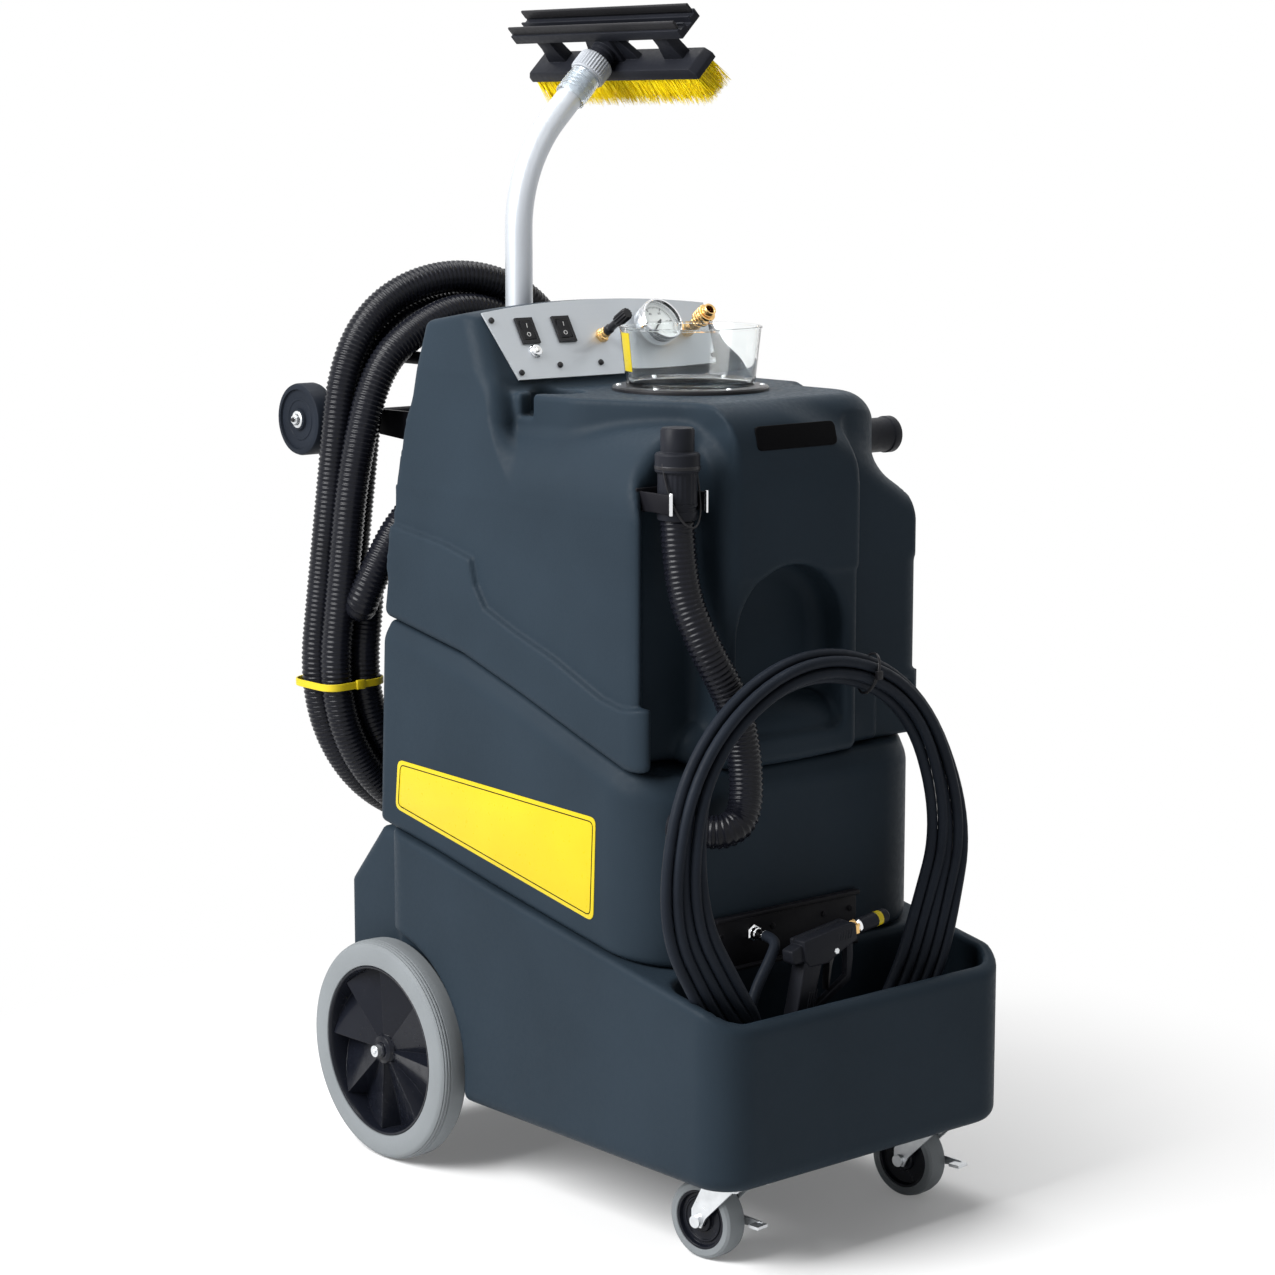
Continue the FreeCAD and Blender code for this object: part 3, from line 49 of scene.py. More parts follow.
import bmesh
import bpy
import numpy as np
from bpy.props import FloatProperty, FloatVectorProperty, IntProperty, PointerProperty
from bpy.types import Operator, Panel, PropertyGroup
from mathutils import Euler, Matrix, Vector

bl_info = {
    "name": "Wet Dry Floor Scrubber",
    "version": (1, 0, 0),
    "blender": (4, 5, 0),
    "location": "3D View > Sidebar > Scrubber",
    "description": "Finished pieces of a wet dry floor scrubber on its mechanical frame",
    "category": "Object",
}

NODES = frame["nodes"]
AXLE_HEIGHT = 0.1524
# Places are in millimetres and angles in radians; AXLE_HEIGHT, FLOOR_HALF and DRAIN_LENGTH are in metres,
# and the dial's start and sweep in degrees.
CAMERA_SPOT, CAMERA_YAW, CAMERA_PITCH = (-2702.1, -3378.9, 1401.9), math.radians(40.62), math.radians(9.24)
CAMERA_LENS, FLOOR_HALF = 88.2, 14.0
REAR_WHEEL_X, REAR_WHEEL_Z = 254, 152.4
LOAD_WHEEL = (186.5, 271.5, 998)
CASTER_X, CASTER_Y, CASTER_Z, CASTER_TRAIL, CASTER_TURN = 180, -614, 50.8, 35, math.radians(7)
SPOUT, DRAIN_TOP, DRAIN_LENGTH = (-181, -563, 544.5), (-190, -525, 930), 0.447
OUTLET = (-88, -548, 398)
CUFF_FOOT, CUFF_MOUTH = (144.0, 171, 709.8), (-10, 99, 920)
LID_X, LID_Y = 12, -321
GAUGE_SPOT, KNOB_SPOT, COUPLING_SPOT = (78, 60), (-9, 57), (139, 53)
DIAL_START, DIAL_SWEEP = 225, 270
AXLE_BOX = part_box("rear_axle")
FLOOR_UNDER_AXLE = (AXLE_BOX[0] + AXLE_BOX[1]) / 2 - Vector((0, 0, AXLE_HEIGHT))
# Shapes are drawn in millimetres about the floor under the rear axle; the front tray faces -Y.
TO_FRAME = Matrix.Translation(FLOOR_UNDER_AXLE) @ Matrix.Scale(0.001, 4)
IN_MM = Matrix.Scale(1000, 4)
SIDES = {"left": -1, "right": 1}


def at(x, y, z):
    return TO_FRAME @ Vector((x, y, z))


def turned(origin, axis_z, axis_x=None):
    """Placement whose Z follows axis_z, and whose X lies near axis_x."""
    z = Vector(axis_z).normalized()
    hint = Vector(axis_x) if axis_x else (Vector((1, 0, 0)) if abs(z.x) < 0.9 else Vector((0, 1, 0)))
    y = z.cross(hint).normalized()
    x = y.cross(z)
    place = Matrix((x, y, z)).transposed().to_4x4()
    place.translation = Vector(origin)
    return place


# ------------------------------------------------------------------ placements

PANEL_LEAN = math.radians(31.4)
PANEL = turned((0, -194, 1080), (0, -math.cos(PANEL_LEAN), math.sin(PANEL_LEAN)), (1, 0, 0))
GUN = Matrix.Translation((-32, -630, 368)) @ Matrix.Rotation(math.radians(-7), 4, "Y")
WAND_Y, WAND_FOOT, WAND_KNEE, WAND_BEND = 23.0, 878.0, 1265.0, 215.0
HALF_TURN = math.radians(45)
WAND_TURN = Vector((WAND_BEND * (1 - math.cos(HALF_TURN)), WAND_Y, WAND_KNEE + WAND_BEND * math.sin(HALF_TURN)))
WAND_AXIS = Vector((math.sin(HALF_TURN), 0, math.cos(HALF_TURN)))


def along_wand(distance):
    return WAND_TURN + WAND_AXIS * distance


HEAD = Matrix.Translation(along_wand(150)) @ Matrix.Rotation(math.radians(-45), 4, "Y")


# ------------------------------------------------------------------ finishes

def finish(name, colour, rough, metal=0.0, tint=0.12, tint_scale=7.0, grain=0.0, grain_scale=700.0,
           edge=0.0, wear_and_highlight=None, soften=0.0, coat=0.0, clear=0.0, ior=1.5, streak=None, spread=0.07, spec=0.5):
    """Procedural finish: colour drift, edges lightened as wear and as a painted highlight, uneven gloss and surface
    grain. Lengths are in metres.
    """
    material = bpy.data.materials.new(name)
    material.use_nodes = True
    tree = material.node_tree
    shader = tree.nodes["Principled BSDF"]
    for label, value in (("Metallic", metal), ("IOR", ior), ("Specular IOR Level", spec), ("Coat Weight", coat),
                         ("Coat Roughness", 0.12), ("Transmission Weight", clear)):
        shader.inputs[label].default_value = value
    place = node(tree, "ShaderNodeTexCoord")["Object"]
    mapped = node(tree, "ShaderNodeMapping", {"Vector": place}, {"Scale": streak} if streak else {})["Vector"]

    def noise(scale, detail, source):
        return node(tree, "ShaderNodeTexNoise", {"Vector": source}, {"Scale": scale, "Detail": detail})["Fac"]

    def ranged(source, low, high, to_low, to_high):
        return node(tree, "ShaderNodeMapRange", {"Value": source},
                    {"From Min": low, "From Max": high, "To Min": to_low, "To Max": to_high})["Result"]

    def mixed(factor, first, second):
        made = tree.nodes.new("ShaderNodeMix")
        made.data_type = "RGBA"
        tree.links.new(factor, made.inputs[0])
        for socket, value in ((made.inputs[6], first), (made.inputs[7], second)):
            if hasattr(value, "is_linked"):
                tree.links.new(value, socket)
            else:
                socket.default_value = (*value, 1.0)
        return made.outputs[2]

    def bevel(radius):
        return node(tree, "ShaderNodeBevel", {}, {"Radius": radius}, samples=4)["Normal"]

    drift = ranged(noise(tint_scale, 4.0, place), 0.3, 0.7, 0.0, 1.0)
    dark = tuple(max(0.0, c * (1 - tint)) for c in colour)
    light = tuple(min(1.0, c * (1 + tint)) for c in colour)
    painted = mixed(drift, dark, light)
    fine = noise(grain_scale / 4, 3.0, mapped)
    uneven = ranged(fine, 0.3, 0.7, max(0.02, rough - spread), min(1.0, rough + spread))
    normal = bevel(soften) if soften > 0 else None
    # Rounded edges are lightened towards the edge colour: partly wear, partly a painted highlight where a lamp would
    # catch the edge.
    if edge > 0:
        shape = node(tree, "ShaderNodeNewGeometry")["Normal"]
        along = node(tree, "ShaderNodeVectorMath", {0: bevel(edge), 1: shape}, operation="DOT_PRODUCT")["Value"]
        edges = ranged(along, 0.80, 0.995, 1.0, 0.0)
        patchy = ranged(noise(grain_scale / 12, 5.0, place), 0.4, 0.65, 0.15, 0.8)
        painted = mixed(sum_of(tree, "MULTIPLY", edges, patchy), painted,
                        wear_and_highlight or tuple(min(1.0, c * 1.9 + 0.02) for c in colour))
    tree.links.new(painted, shader.inputs["Base Color"])
    tree.links.new(uneven, shader.inputs["Roughness"])
    if grain > 0:
        links = {"Height": noise(grain_scale, 2.0, mapped)}
        if normal:
            links["Normal"] = normal
        normal = node(tree, "ShaderNodeBump", links, {"Strength": 0.6, "Distance": grain})["Normal"]
    if normal:
        tree.links.new(normal, shader.inputs["Normal"])
    return material


FINISHES = {}


def make_finishes(colours):
    body = tuple(colours.body)
    tyre = tuple(colours.tyre)
    signal = tuple(colours.signal)
    recipes = {
        # The body's edge colour is much lighter than the body: a painted highlight along its rounded rims and edges,
        # with a little wear.
        "body": dict(colour=body, rough=0.47, tint=0.10, tint_scale=5.0, grain=0.00022, grain_scale=620.0,
                     edge=0.004, wear_and_highlight=tuple(min(1.0, c * 2.2 + 0.015) for c in body), spec=0.05),
        "tyre": dict(colour=tyre, rough=0.62, tint=0.07, grain=0.0001, grain_scale=900.0, soften=0.0008, spec=0.2),
        "hub": dict(colour=(0.006, 0.007, 0.011), rough=0.22, tint=0.15, grain=0.00002, grain_scale=300.0,
                    soften=0.001, spec=0.16),
        "panel": dict(colour=(0.46, 0.49, 0.52), rough=0.38, metal=0.55, tint=0.03, grain=0.00003,
                      grain_scale=900.0, streak=(0.03, 1.0, 1.0), soften=0.0006),
        "control": dict(colour=(0.012, 0.012, 0.014), rough=0.34, tint=0.15, grain=0.00003, grain_scale=900.0,
                        edge=0.0008, soften=0.0006, spec=0.2),
        "brass": dict(colour=(0.78, 0.50, 0.20), rough=0.24, metal=1.0, tint=0.12, tint_scale=60.0, grain=0.00003,
                      grain_scale=1200.0, edge=0.0008, wear_and_highlight=(0.95, 0.74, 0.42), soften=0.0005),
        "chrome": dict(colour=(0.80, 0.81, 0.83), rough=0.12, metal=1.0, tint=0.04, grain=0.00001, soften=0.0005,
                       spread=0.05),
        "zinc": dict(colour=(0.66, 0.68, 0.70), rough=0.34, metal=0.9, tint=0.09, tint_scale=70.0, grain=0.00004,
                     grain_scale=500.0, soften=0.0008),
        "frame_black": dict(colour=(0.007, 0.007, 0.009), rough=0.42, tint=0.12, grain=0.00012, grain_scale=500.0,
                            edge=0.002, soften=0.0015, spec=0.06),
        "dial": dict(colour=(0.82, 0.83, 0.82), rough=0.4, tint=0.02, grain=0.00001),
        "ink": dict(colour=(0.01, 0.01, 0.012), rough=0.5, tint=0.1, grain=0.00001, spec=0.1),
        "print_white": dict(colour=(0.8, 0.8, 0.8), rough=0.5, tint=0.05, grain=0.00001),
        "label": dict(colour=signal, rough=0.33, tint=0.04, tint_scale=12.0, grain=0.00003, grain_scale=500.0,
                      edge=0.0008, wear_and_highlight=(0.5, 0.42, 0.1), coat=0.08, spec=0.2),
        "badge": dict(colour=(0.003, 0.003, 0.0035), rough=0.5, tint=0.1, grain=0.00002, grain_scale=500.0,
                      soften=0.0008, spec=0.02),
        "wand": dict(colour=(0.50, 0.53, 0.57), rough=0.36, metal=0.5, tint=0.04, grain=0.00003,
                     grain_scale=900.0, streak=(1.0, 1.0, 0.04)),
        "head_black": dict(colour=(0.011, 0.012, 0.016), rough=0.44, tint=0.14, grain=0.00010, grain_scale=600.0,
                           edge=0.0015, soften=0.0008, spec=0.08),
        "blade": dict(colour=(0.02, 0.02, 0.022), rough=0.5, tint=0.12, grain=0.00003, soften=0.0004, spec=0.1),
        "bristle": dict(colour=(1.0, 0.74, 0.008), rough=0.42, tint=0.12, tint_scale=60.0, grain=0.00001, spec=0.2),
        "hose": dict(colour=(0.0055, 0.006, 0.009), rough=0.24, tint=0.2, tint_scale=14.0, grain=0.00005,
                     grain_scale=400.0, spec=0.14),
        "rubber_hose": dict(colour=(0.011, 0.014, 0.020), rough=0.5, tint=0.15, tint_scale=16.0, grain=0.00012,
                            grain_scale=800.0, spec=0.06),
        "strap": dict(colour=signal, rough=0.45, tint=0.06, grain=0.00006, grain_scale=500.0, soften=0.0006, spec=0.3),
        "motor": dict(colour=(0.10, 0.10, 0.11), rough=0.5, tint=0.1, grain=0.0001, soften=0.001),
        "white": dict(colour=(0.75, 0.75, 0.73), rough=0.4, tint=0.03, grain=0.00002),
        "needle": dict(colour=(0.01, 0.01, 0.01), rough=0.4, tint=0.1, grain=0.00001, spec=0.1),
        "cord_tie": dict(colour=(0.01, 0.01, 0.012), rough=0.3, tint=0.1, grain=0.00002, spec=0.15),
    }
    for key, recipe in recipes.items():
        FINISHES[key] = finish("finish_" + key, **recipe)
    FINISHES["frost"] = finish("finish_frost", (0.34, 0.36, 0.39), 0.3, tint=0.03, ior=1.3, spread=0.05)
    FINISHES["sleeve"] = finish("finish_sleeve", (0.80, 0.84, 0.87), 0.06, tint=0.02, clear=0.9, ior=1.22,
                                spread=0.02, coat=0.4)
    FINISHES["clear"] = finish("finish_clear", (0.97, 0.99, 0.99), 0.03, tint=0.01, clear=1.0, ior=1.09,
                               spread=0.01, coat=0.55)


SLOT_FINISH = {
    "body_plastic": "body", "tyre_grey": "tyre", "hub_plastic": "hub", "panel_silver": "panel",
    "control_black": "control", "brass": "brass", "chrome": "chrome", "zinc": "zinc",
    "frame_black": "frame_black", "dial_white": "dial", "needle_black": "needle", "clear_plastic": "clear",
    "label_yellow": "label", "badge_black": "badge", "wand_aluminium": "wand", "head_black": "head_black",
    "blade_rubber": "blade", "bristle_yellow": "bristle", "hose_black": "hose", "strap_yellow": "strap",
    "motor_grey": "motor", "float_white": "white",
}


# ------------------------------------------------------------------ mesh building

class Kit:
    """Collects the closed parts of one piece, drawn in millimetres, and makes its object."""

    def __init__(self, name):
        self.name = name
        self.mesh = bmesh.new()
        self.finishes = []

    def slot_of(self, finish_name):
        if finish_name not in self.finishes:
            self.finishes.append(finish_name)
        return self.finishes.index(finish_name)

    def put(self, part, finish_name, place=None, bevel=0.0, segments=2, sharp=30.0):
        """Takes a part's bmesh, rounds its sharp edges and adds it to the piece."""
        bmesh.ops.remove_doubles(part, verts=part.verts, dist=1e-5)
        bmesh.ops.recalc_face_normals(part, faces=part.faces)
        if bevel > 0:
            limit = math.radians(sharp)
            edges = [e for e in part.edges if len(e.link_faces) == 2 and e.calc_face_angle(0.0) > limit]
            bmesh.ops.bevel(part, geom=edges, offset=bevel, segments=segments, profile=0.5, affect="EDGES",
                            clamp_overlap=True)
        if place is not None:
            bmesh.ops.transform(part, matrix=place, verts=part.verts)
        index = self.slot_of(finish_name)
        for face in part.faces:
            face.material_index = index
        holder = bpy.data.meshes.new("part")
        part.to_mesh(holder)
        part.free()
        self.mesh.from_mesh(holder)
        bpy.data.meshes.remove(holder)

    def box(self, low, high, finish_name, place=None, bevel=1.0, segments=2):
        part = bmesh.new()
        middle = [(a + b) / 2 for a, b in zip(low, high)]
        size = [b - a for a, b in zip(low, high)]
        bmesh.ops.create_cube(part, size=1.0, matrix=Matrix.Translation(middle) @ Matrix.Diagonal((*size, 1)))
        self.put(part, finish_name, place, bevel, segments)

    def prism(self, outline, low, high, finish_name, place=None, bevel=1.0, segments=2):
        """An outline of (x, y) points, extruded along Z."""
        part = bmesh.new()
        face = part.faces.new([part.verts.new((x, y, low)) for x, y in outline])
        grown = bmesh.ops.extrude_face_region(part, geom=[face])
        moved = [v for v in grown["geom"] if isinstance(v, bmesh.types.BMVert)]
        bmesh.ops.translate(part, vec=(0, 0, high - low), verts=moved)
        self.put(part, finish_name, place, bevel, segments)

    def lathe(self, profile, finish_name, place=None, sides=64, ring=False, lobes=0, lobe_depth=0.0):
        """A profile of (radius, height) points turned about Z; a ring's profile closes on itself."""
        part = bmesh.new()
        rows = []
        for radius, height in profile:
            if radius < 1e-6:
                rows.append([part.verts.new((0, 0, height))])
                continue
            row = []
            for k in range(sides):
                turn = 2 * math.pi * k / sides
                r = radius - (lobe_depth * (0.5 - 0.5 * math.cos(lobes * turn)) if lobes else 0.0)
                row.append(part.verts.new((r * math.cos(turn), r * math.sin(turn), height)))
            rows.append(row)
        pairs = list(zip(rows, rows[1:])) + ([(rows[-1], rows[0])] if ring else [])
        for a, b in pairs:
            for k in range(sides):
                quad = [a[k % len(a)], a[(k + 1) % len(a)], b[(k + 1) % len(b)], b[k % len(b)]]
                corners = [v for i, v in enumerate(quad) if v not in quad[:i]]
                if len(corners) > 2:
                    part.faces.new(corners)
        self.put(part, finish_name, place)

    def sweep(self, points, radius, finish_name, sides=12, closed=False, flat=1.0, inner=0.0):
        """A round or flattened bar along points, hollow with an inner radius."""
        part = bmesh.new()
        spots = [Vector(p) for p in points]
        count = len(spots)
        across = None
        skins = ([], [])
        for i, spot in enumerate(spots):
            before = spots[(i - 1) % count] if closed or i else spot
            after = spots[(i + 1) % count] if closed or i < count - 1 else spot
            along = (after - before).normalized()
            if across is None:
                across = along.orthogonal().normalized()
            across = (across - along * across.dot(along)).normalized()
            up = along.cross(across)
            for rows, reach in zip(skins, (radius, inner)):
                rows.append([part.verts.new(spot + across * (reach * math.cos(2 * math.pi * k / sides))
                                            + up * (reach * flat * math.sin(2 * math.pi * k / sides)))
                             for k in range(sides if reach > 0 else 0)])
        for rows in skins if inner > 0 else skins[:1]:
            for a, b in list(zip(rows, rows[1:])) + ([(rows[-1], rows[0])] if closed else []):
                for k in range(sides):
                    part.faces.new([a[k], a[(k + 1) % sides], b[(k + 1) % sides], b[k]])
        for end in () if closed else (0, -1):
            if inner > 0:
                a, b = skins[0][end], skins[1][end]
                for k in range(sides):
                    part.faces.new([a[k], a[(k + 1) % sides], b[(k + 1) % sides], b[k]])
            else:
                part.faces.new(skins[0][end])
        self.put(part, finish_name)

    def made(self, body, slot, replaces=(), sharp=35.0):
        """Finishes the piece: moves it to the frame, shades it and lets it ride on its body."""
        mesh = bpy.data.meshes.new(self.name)
        self.mesh.to_mesh(mesh)
        self.mesh.free()
        mesh.transform(TO_FRAME)
        for key in self.finishes:
            mesh.materials.append(FINISHES[key])
        return settle(self.name, mesh, body, replaces, sharp)


def settle(name, mesh, body, replaces=(), sharp=35.0):
    """Links a finished mesh, shades it smooth between sharp edges and lets it ride."""
    mesh.shade_smooth()
    mesh.set_sharp_from_angle(angle=math.radians(sharp))
    piece = bpy.data.objects.new(name, mesh)
    bpy.context.scene.collection.objects.link(piece)
    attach(piece, body)
    if replaces:
        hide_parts(*replaces)
    return piece


def arc(centre, radius, start, end, steps):
    """Points of an arc in a plane, angles in degrees."""
    turns = [math.radians(start + (end - start) * k / steps) for k in range(steps + 1)]
    return [(centre[0] + radius * math.cos(t), centre[1] + radius * math.sin(t)) for t in turns]


def rounded_corners(points, radius, steps=5):
    """Outline of 2-D points with every corner rounded."""
    result = []
    for before, here, after in zip(points[-1:] + points[:-1], points, points[1:] + points[:1]):
        a = Vector(before) - Vector(here)
        b = Vector(after) - Vector(here)
        half = a.angle(b) / 2
        cut = min(radius / math.tan(half), 0.45 * a.length, 0.45 * b.length)
        first = Vector(here) + a.normalized() * cut
        last = Vector(here) + b.normalized() * cut
        for k in range(steps + 1):
            t = k / steps
            result.append(tuple(first * (1 - t) ** 2 + Vector(here) * 2 * t * (1 - t) + last * t * t))
    return result


def lettering(name, text, size, place, body, finish_name, depth=0.15):
    """Short sign as a thin mesh on a surface, sizes in millimetres."""
    data = bpy.data.curves.new(name, "FONT")
    data.body = text
    data.size = size
    data.extrude = depth
    data.align_x = "CENTER"
    data.align_y = "CENTER"
    holder = bpy.data.objects.new(name + "_draft", data)
    bpy.context.scene.collection.objects.link(holder)
    bpy.context.view_layer.update()
    mesh = bpy.data.meshes.new_from_object(holder.evaluated_get(bpy.context.evaluated_depsgraph_get()))
    bpy.data.objects.remove(holder)
    mesh.transform(TO_FRAME @ place)
    mesh.materials.clear()
    mesh.materials.append(FINISHES[finish_name])
    mesh.name = name
    return settle(name, mesh, body)


# ------------------------------------------------------------------ node trees

def new_tree(name, inputs):
    """A geometry tree with named sizes: label -> (socket type, default)."""
    tree = bpy.data.node_groups.new(name, "GeometryNodeTree")
    tree.interface.new_socket("Geometry", in_out="INPUT", socket_type="NodeSocketGeometry")
    for label, (kind, default) in inputs.items():
        socket = tree.interface.new_socket(label, in_out="INPUT", socket_type=kind)
        if default is not None:
            socket.default_value = default
    tree.interface.new_socket("Geometry", in_out="OUTPUT", socket_type="NodeSocketGeometry")
    start = tree.nodes.new("NodeGroupInput")
    end = tree.nodes.new("NodeGroupOutput")
    return tree, start.outputs, end.inputs


def node(tree, kind, links=(), values=(), **settings):
    made = tree.nodes.new(kind)
    for key, value in settings.items():
        setattr(made, key, value)
    for socket, source in dict(links).items():
        tree.links.new(source, made.inputs[socket])
    for socket, value in dict(values).items():
        made.inputs[socket].default_value = value
    return made.outputs


def sum_of(tree, operation, first, second=None):
    """A math node on sockets or numbers."""
    made = tree.nodes.new("ShaderNodeMath")
    made.operation = operation
    for socket, value in zip(made.inputs, (first, second)):
        if hasattr(value, "is_linked"):
            tree.links.new(value, socket)
        elif value is not None:
            socket.default_value = value
    return made.outputs[0]


def closing(tree, geometry, material, end):
    solid = node(tree, "GeometryNodeRealizeInstances", {"Geometry": geometry})[0]
    painted = node(tree, "GeometryNodeSetMaterial", {"Geometry": solid, "Material": material})[0]
    tree.links.new(painted, end[0])


def grown(name, mesh, tree, values):
    """Runs a tree on a mesh and returns the plain mesh that it makes."""
    draft = bpy.data.objects.new(name + "_draft", mesh)
    bpy.context.scene.collection.objects.link(draft)
    modifier = draft.modifiers.new("Shape", "NODES")
    modifier.node_group = tree
    sockets = {item.name: item.identifier for item in tree.interface.items_tree if item.in_out == "INPUT"}
    for label, value in values.items():
        modifier[sockets[label]] = value
    bpy.context.view_layer.update()
    result = bpy.data.meshes.new_from_object(draft.evaluated_get(bpy.context.evaluated_depsgraph_get()))
    result.name = name
    bpy.data.objects.remove(draft)
    return result


def hose_tree():
    """A round hose along a line, with ribs, a rib every four rings."""
    tree, start, end = new_tree("Ribbed Hose", {
        "Radius": ("NodeSocketFloat", 0.022), "Rib Depth": ("NodeSocketFloat", 0.002),
        "Rib Pitch": ("NodeSocketFloat", 0.0065), "Sides": ("NodeSocketInt", 16),
        "Material": ("NodeSocketMaterial", None)})
    curve = node(tree, "GeometryNodeMeshToCurve", {"Mesh": start["Geometry"]})[0]
    step = sum_of(tree, "DIVIDE", start["Rib Pitch"], 4.0)
    even = node(tree, "GeometryNodeResampleCurve", {"Curve": curve, "Length": step}, mode="LENGTH")[0]
    index = node(tree, "GeometryNodeInputIndex")[0]
    wave = sum_of(tree, "COSINE", sum_of(tree, "MULTIPLY", index, math.pi / 2))
    ripple = sum_of(tree, "MULTIPLY", wave, sum_of(tree, "MULTIPLY", start["Rib Depth"], 0.5))
    radius = sum_of(tree, "ADD", start["Radius"], ripple)
    ring = node(tree, "GeometryNodeCurvePrimitiveCircle", {"Resolution": start["Sides"]}, {"Radius": 1.0})[0]
    skin_of = node(tree, "GeometryNodeCurveToMesh", {"Curve": even, "Profile Curve": ring, "Scale": radius},
                   {"Fill Caps": True})[0]
    closing(tree, skin_of, start["Material"], end)
    return tree


def ring_tree():
    """Repeats a part evenly about Z."""
    tree, start, end = new_tree("Repeat Round", {
        "Count": ("NodeSocketInt", 8), "Material": ("NodeSocketMaterial", None)})
    spots = node(tree, "GeometryNodePoints", {"Count": start["Count"]})[0]
    index = node(tree, "GeometryNodeInputIndex")[0]
    share = sum_of(tree, "DIVIDE", index, start["Count"])
    angle = sum_of(tree, "MULTIPLY", share, 2 * math.pi)
    euler = node(tree, "ShaderNodeCombineXYZ", {"Z": angle})[0]
    turn = node(tree, "FunctionNodeEulerToRotation", {"Euler": euler})[0]
    copies = node(tree, "GeometryNodeInstanceOnPoints",
                  {"Points": spots, "Instance": start["Geometry"], "Rotation": turn})[0]
    closing(tree, copies, start["Material"], end)
    return tree


def brush_tree():
    """Tufts of filaments on a grid, flared outwards and uneven in length."""
    tree, start, end = new_tree("Brush Tufts", {
        "Length X": ("NodeSocketFloat", 0.36), "Length Y": ("NodeSocketFloat", 0.04),
        "Rows X": ("NodeSocketInt", 40), "Rows Y": ("NodeSocketInt", 5),
        "Filaments": ("NodeSocketInt", 36), "Filament Length": ("NodeSocketFloat", 0.044),
        "Filament Radius": ("NodeSocketFloat", 0.0005), "Tuft Radius": ("NodeSocketFloat", 0.003),
        "Flare": ("NodeSocketFloat", 0.2), "Seed": ("NodeSocketInt", 7), "Material": ("NodeSocketMaterial", None)})
    cone = node(tree, "GeometryNodeMeshCone",
                {"Radius Bottom": start["Filament Radius"], "Depth": start["Filament Length"]},
                {"Vertices": 3, "Radius Top": 0.0002})[0]
    grid = node(tree, "GeometryNodeMeshGrid", {"Size X": start["Length X"], "Size Y": start["Length Y"],
                                               "Vertices X": start["Rows X"], "Vertices Y": start["Rows Y"]})[0]
    spots = node(tree, "GeometryNodeMeshToPoints", {"Mesh": grid})[0]
    place = node(tree, "GeometryNodeInputPosition")[0]
    count = node(tree, "GeometryNodeDuplicateElements", {"Geometry": spots, "Amount": start["Filaments"]},
                 domain="POINT")[0]
    index = node(tree, "GeometryNodeInputIndex")[0]

    def spread(low, high, seed_step):
        seed = sum_of(tree, "ADD", start["Seed"], seed_step)
        made = tree.nodes.new("FunctionNodeRandomValue")
        made.data_type = "FLOAT"
        made.inputs[2].default_value = low
        made.inputs[3].default_value = high
        tree.links.new(index, made.inputs["ID"])
        tree.links.new(seed, made.inputs["Seed"])
        return made.outputs[1]

    angle = spread(0.0, 2 * math.pi, 1)
    reach = sum_of(tree, "SQRT", spread(0.0, 1.0, 2))
    dx = sum_of(tree, "MULTIPLY", sum_of(tree, "COSINE", angle), reach)
    dy = sum_of(tree, "MULTIPLY", sum_of(tree, "SINE", angle), reach)
    offset = node(tree, "ShaderNodeCombineXYZ", {
        "X": sum_of(tree, "MULTIPLY", dx, start["Tuft Radius"]),
        "Y": sum_of(tree, "MULTIPLY", dy, start["Tuft Radius"])})[0]
    moved = node(tree, "GeometryNodeSetPosition", {"Geometry": count, "Offset": offset})[0]
    where = node(tree, "ShaderNodeSeparateXYZ", {"Vector": place})
    half_y = sum_of(tree, "MULTIPLY", start["Length Y"], 0.5)
    across = sum_of(tree, "DIVIDE", where["Y"], half_y)
    half_x = sum_of(tree, "MULTIPLY", start["Length X"], 0.5)
    along = sum_of(tree, "POWER", sum_of(tree, "ABSOLUTE", sum_of(tree, "DIVIDE", where["X"], half_x)), 8.0)
    sign = sum_of(tree, "SIGN", where["X"])
    back = sum_of(tree, "MULTIPLY", start["Flare"], -1.0)
    tilt_x = sum_of(tree, "ADD", sum_of(tree, "MULTIPLY", across, back), spread(-0.05, 0.05, 3))
    tilt_y = sum_of(tree, "ADD", sum_of(tree, "MULTIPLY", sum_of(tree, "MULTIPLY", along, sign),
                                        sum_of(tree, "MULTIPLY", start["Flare"], 0.6)), spread(-0.05, 0.05, 4))
    euler = node(tree, "ShaderNodeCombineXYZ", {"X": tilt_x, "Y": tilt_y, "Z": spread(0.0, 6.28, 5)})[0]
    turn = node(tree, "FunctionNodeEulerToRotation", {"Euler": euler})[0]
    length = spread(0.93, 1.0, 6)
    scale = node(tree, "ShaderNodeCombineXYZ", {"Z": length}, {"X": 1.0, "Y": 1.0})[0]
    copies = node(tree, "GeometryNodeInstanceOnPoints",
                  {"Points": moved, "Instance": cone, "Rotation": turn, "Scale": scale})[0]
    closing(tree, copies, start["Material"], end)
    return tree


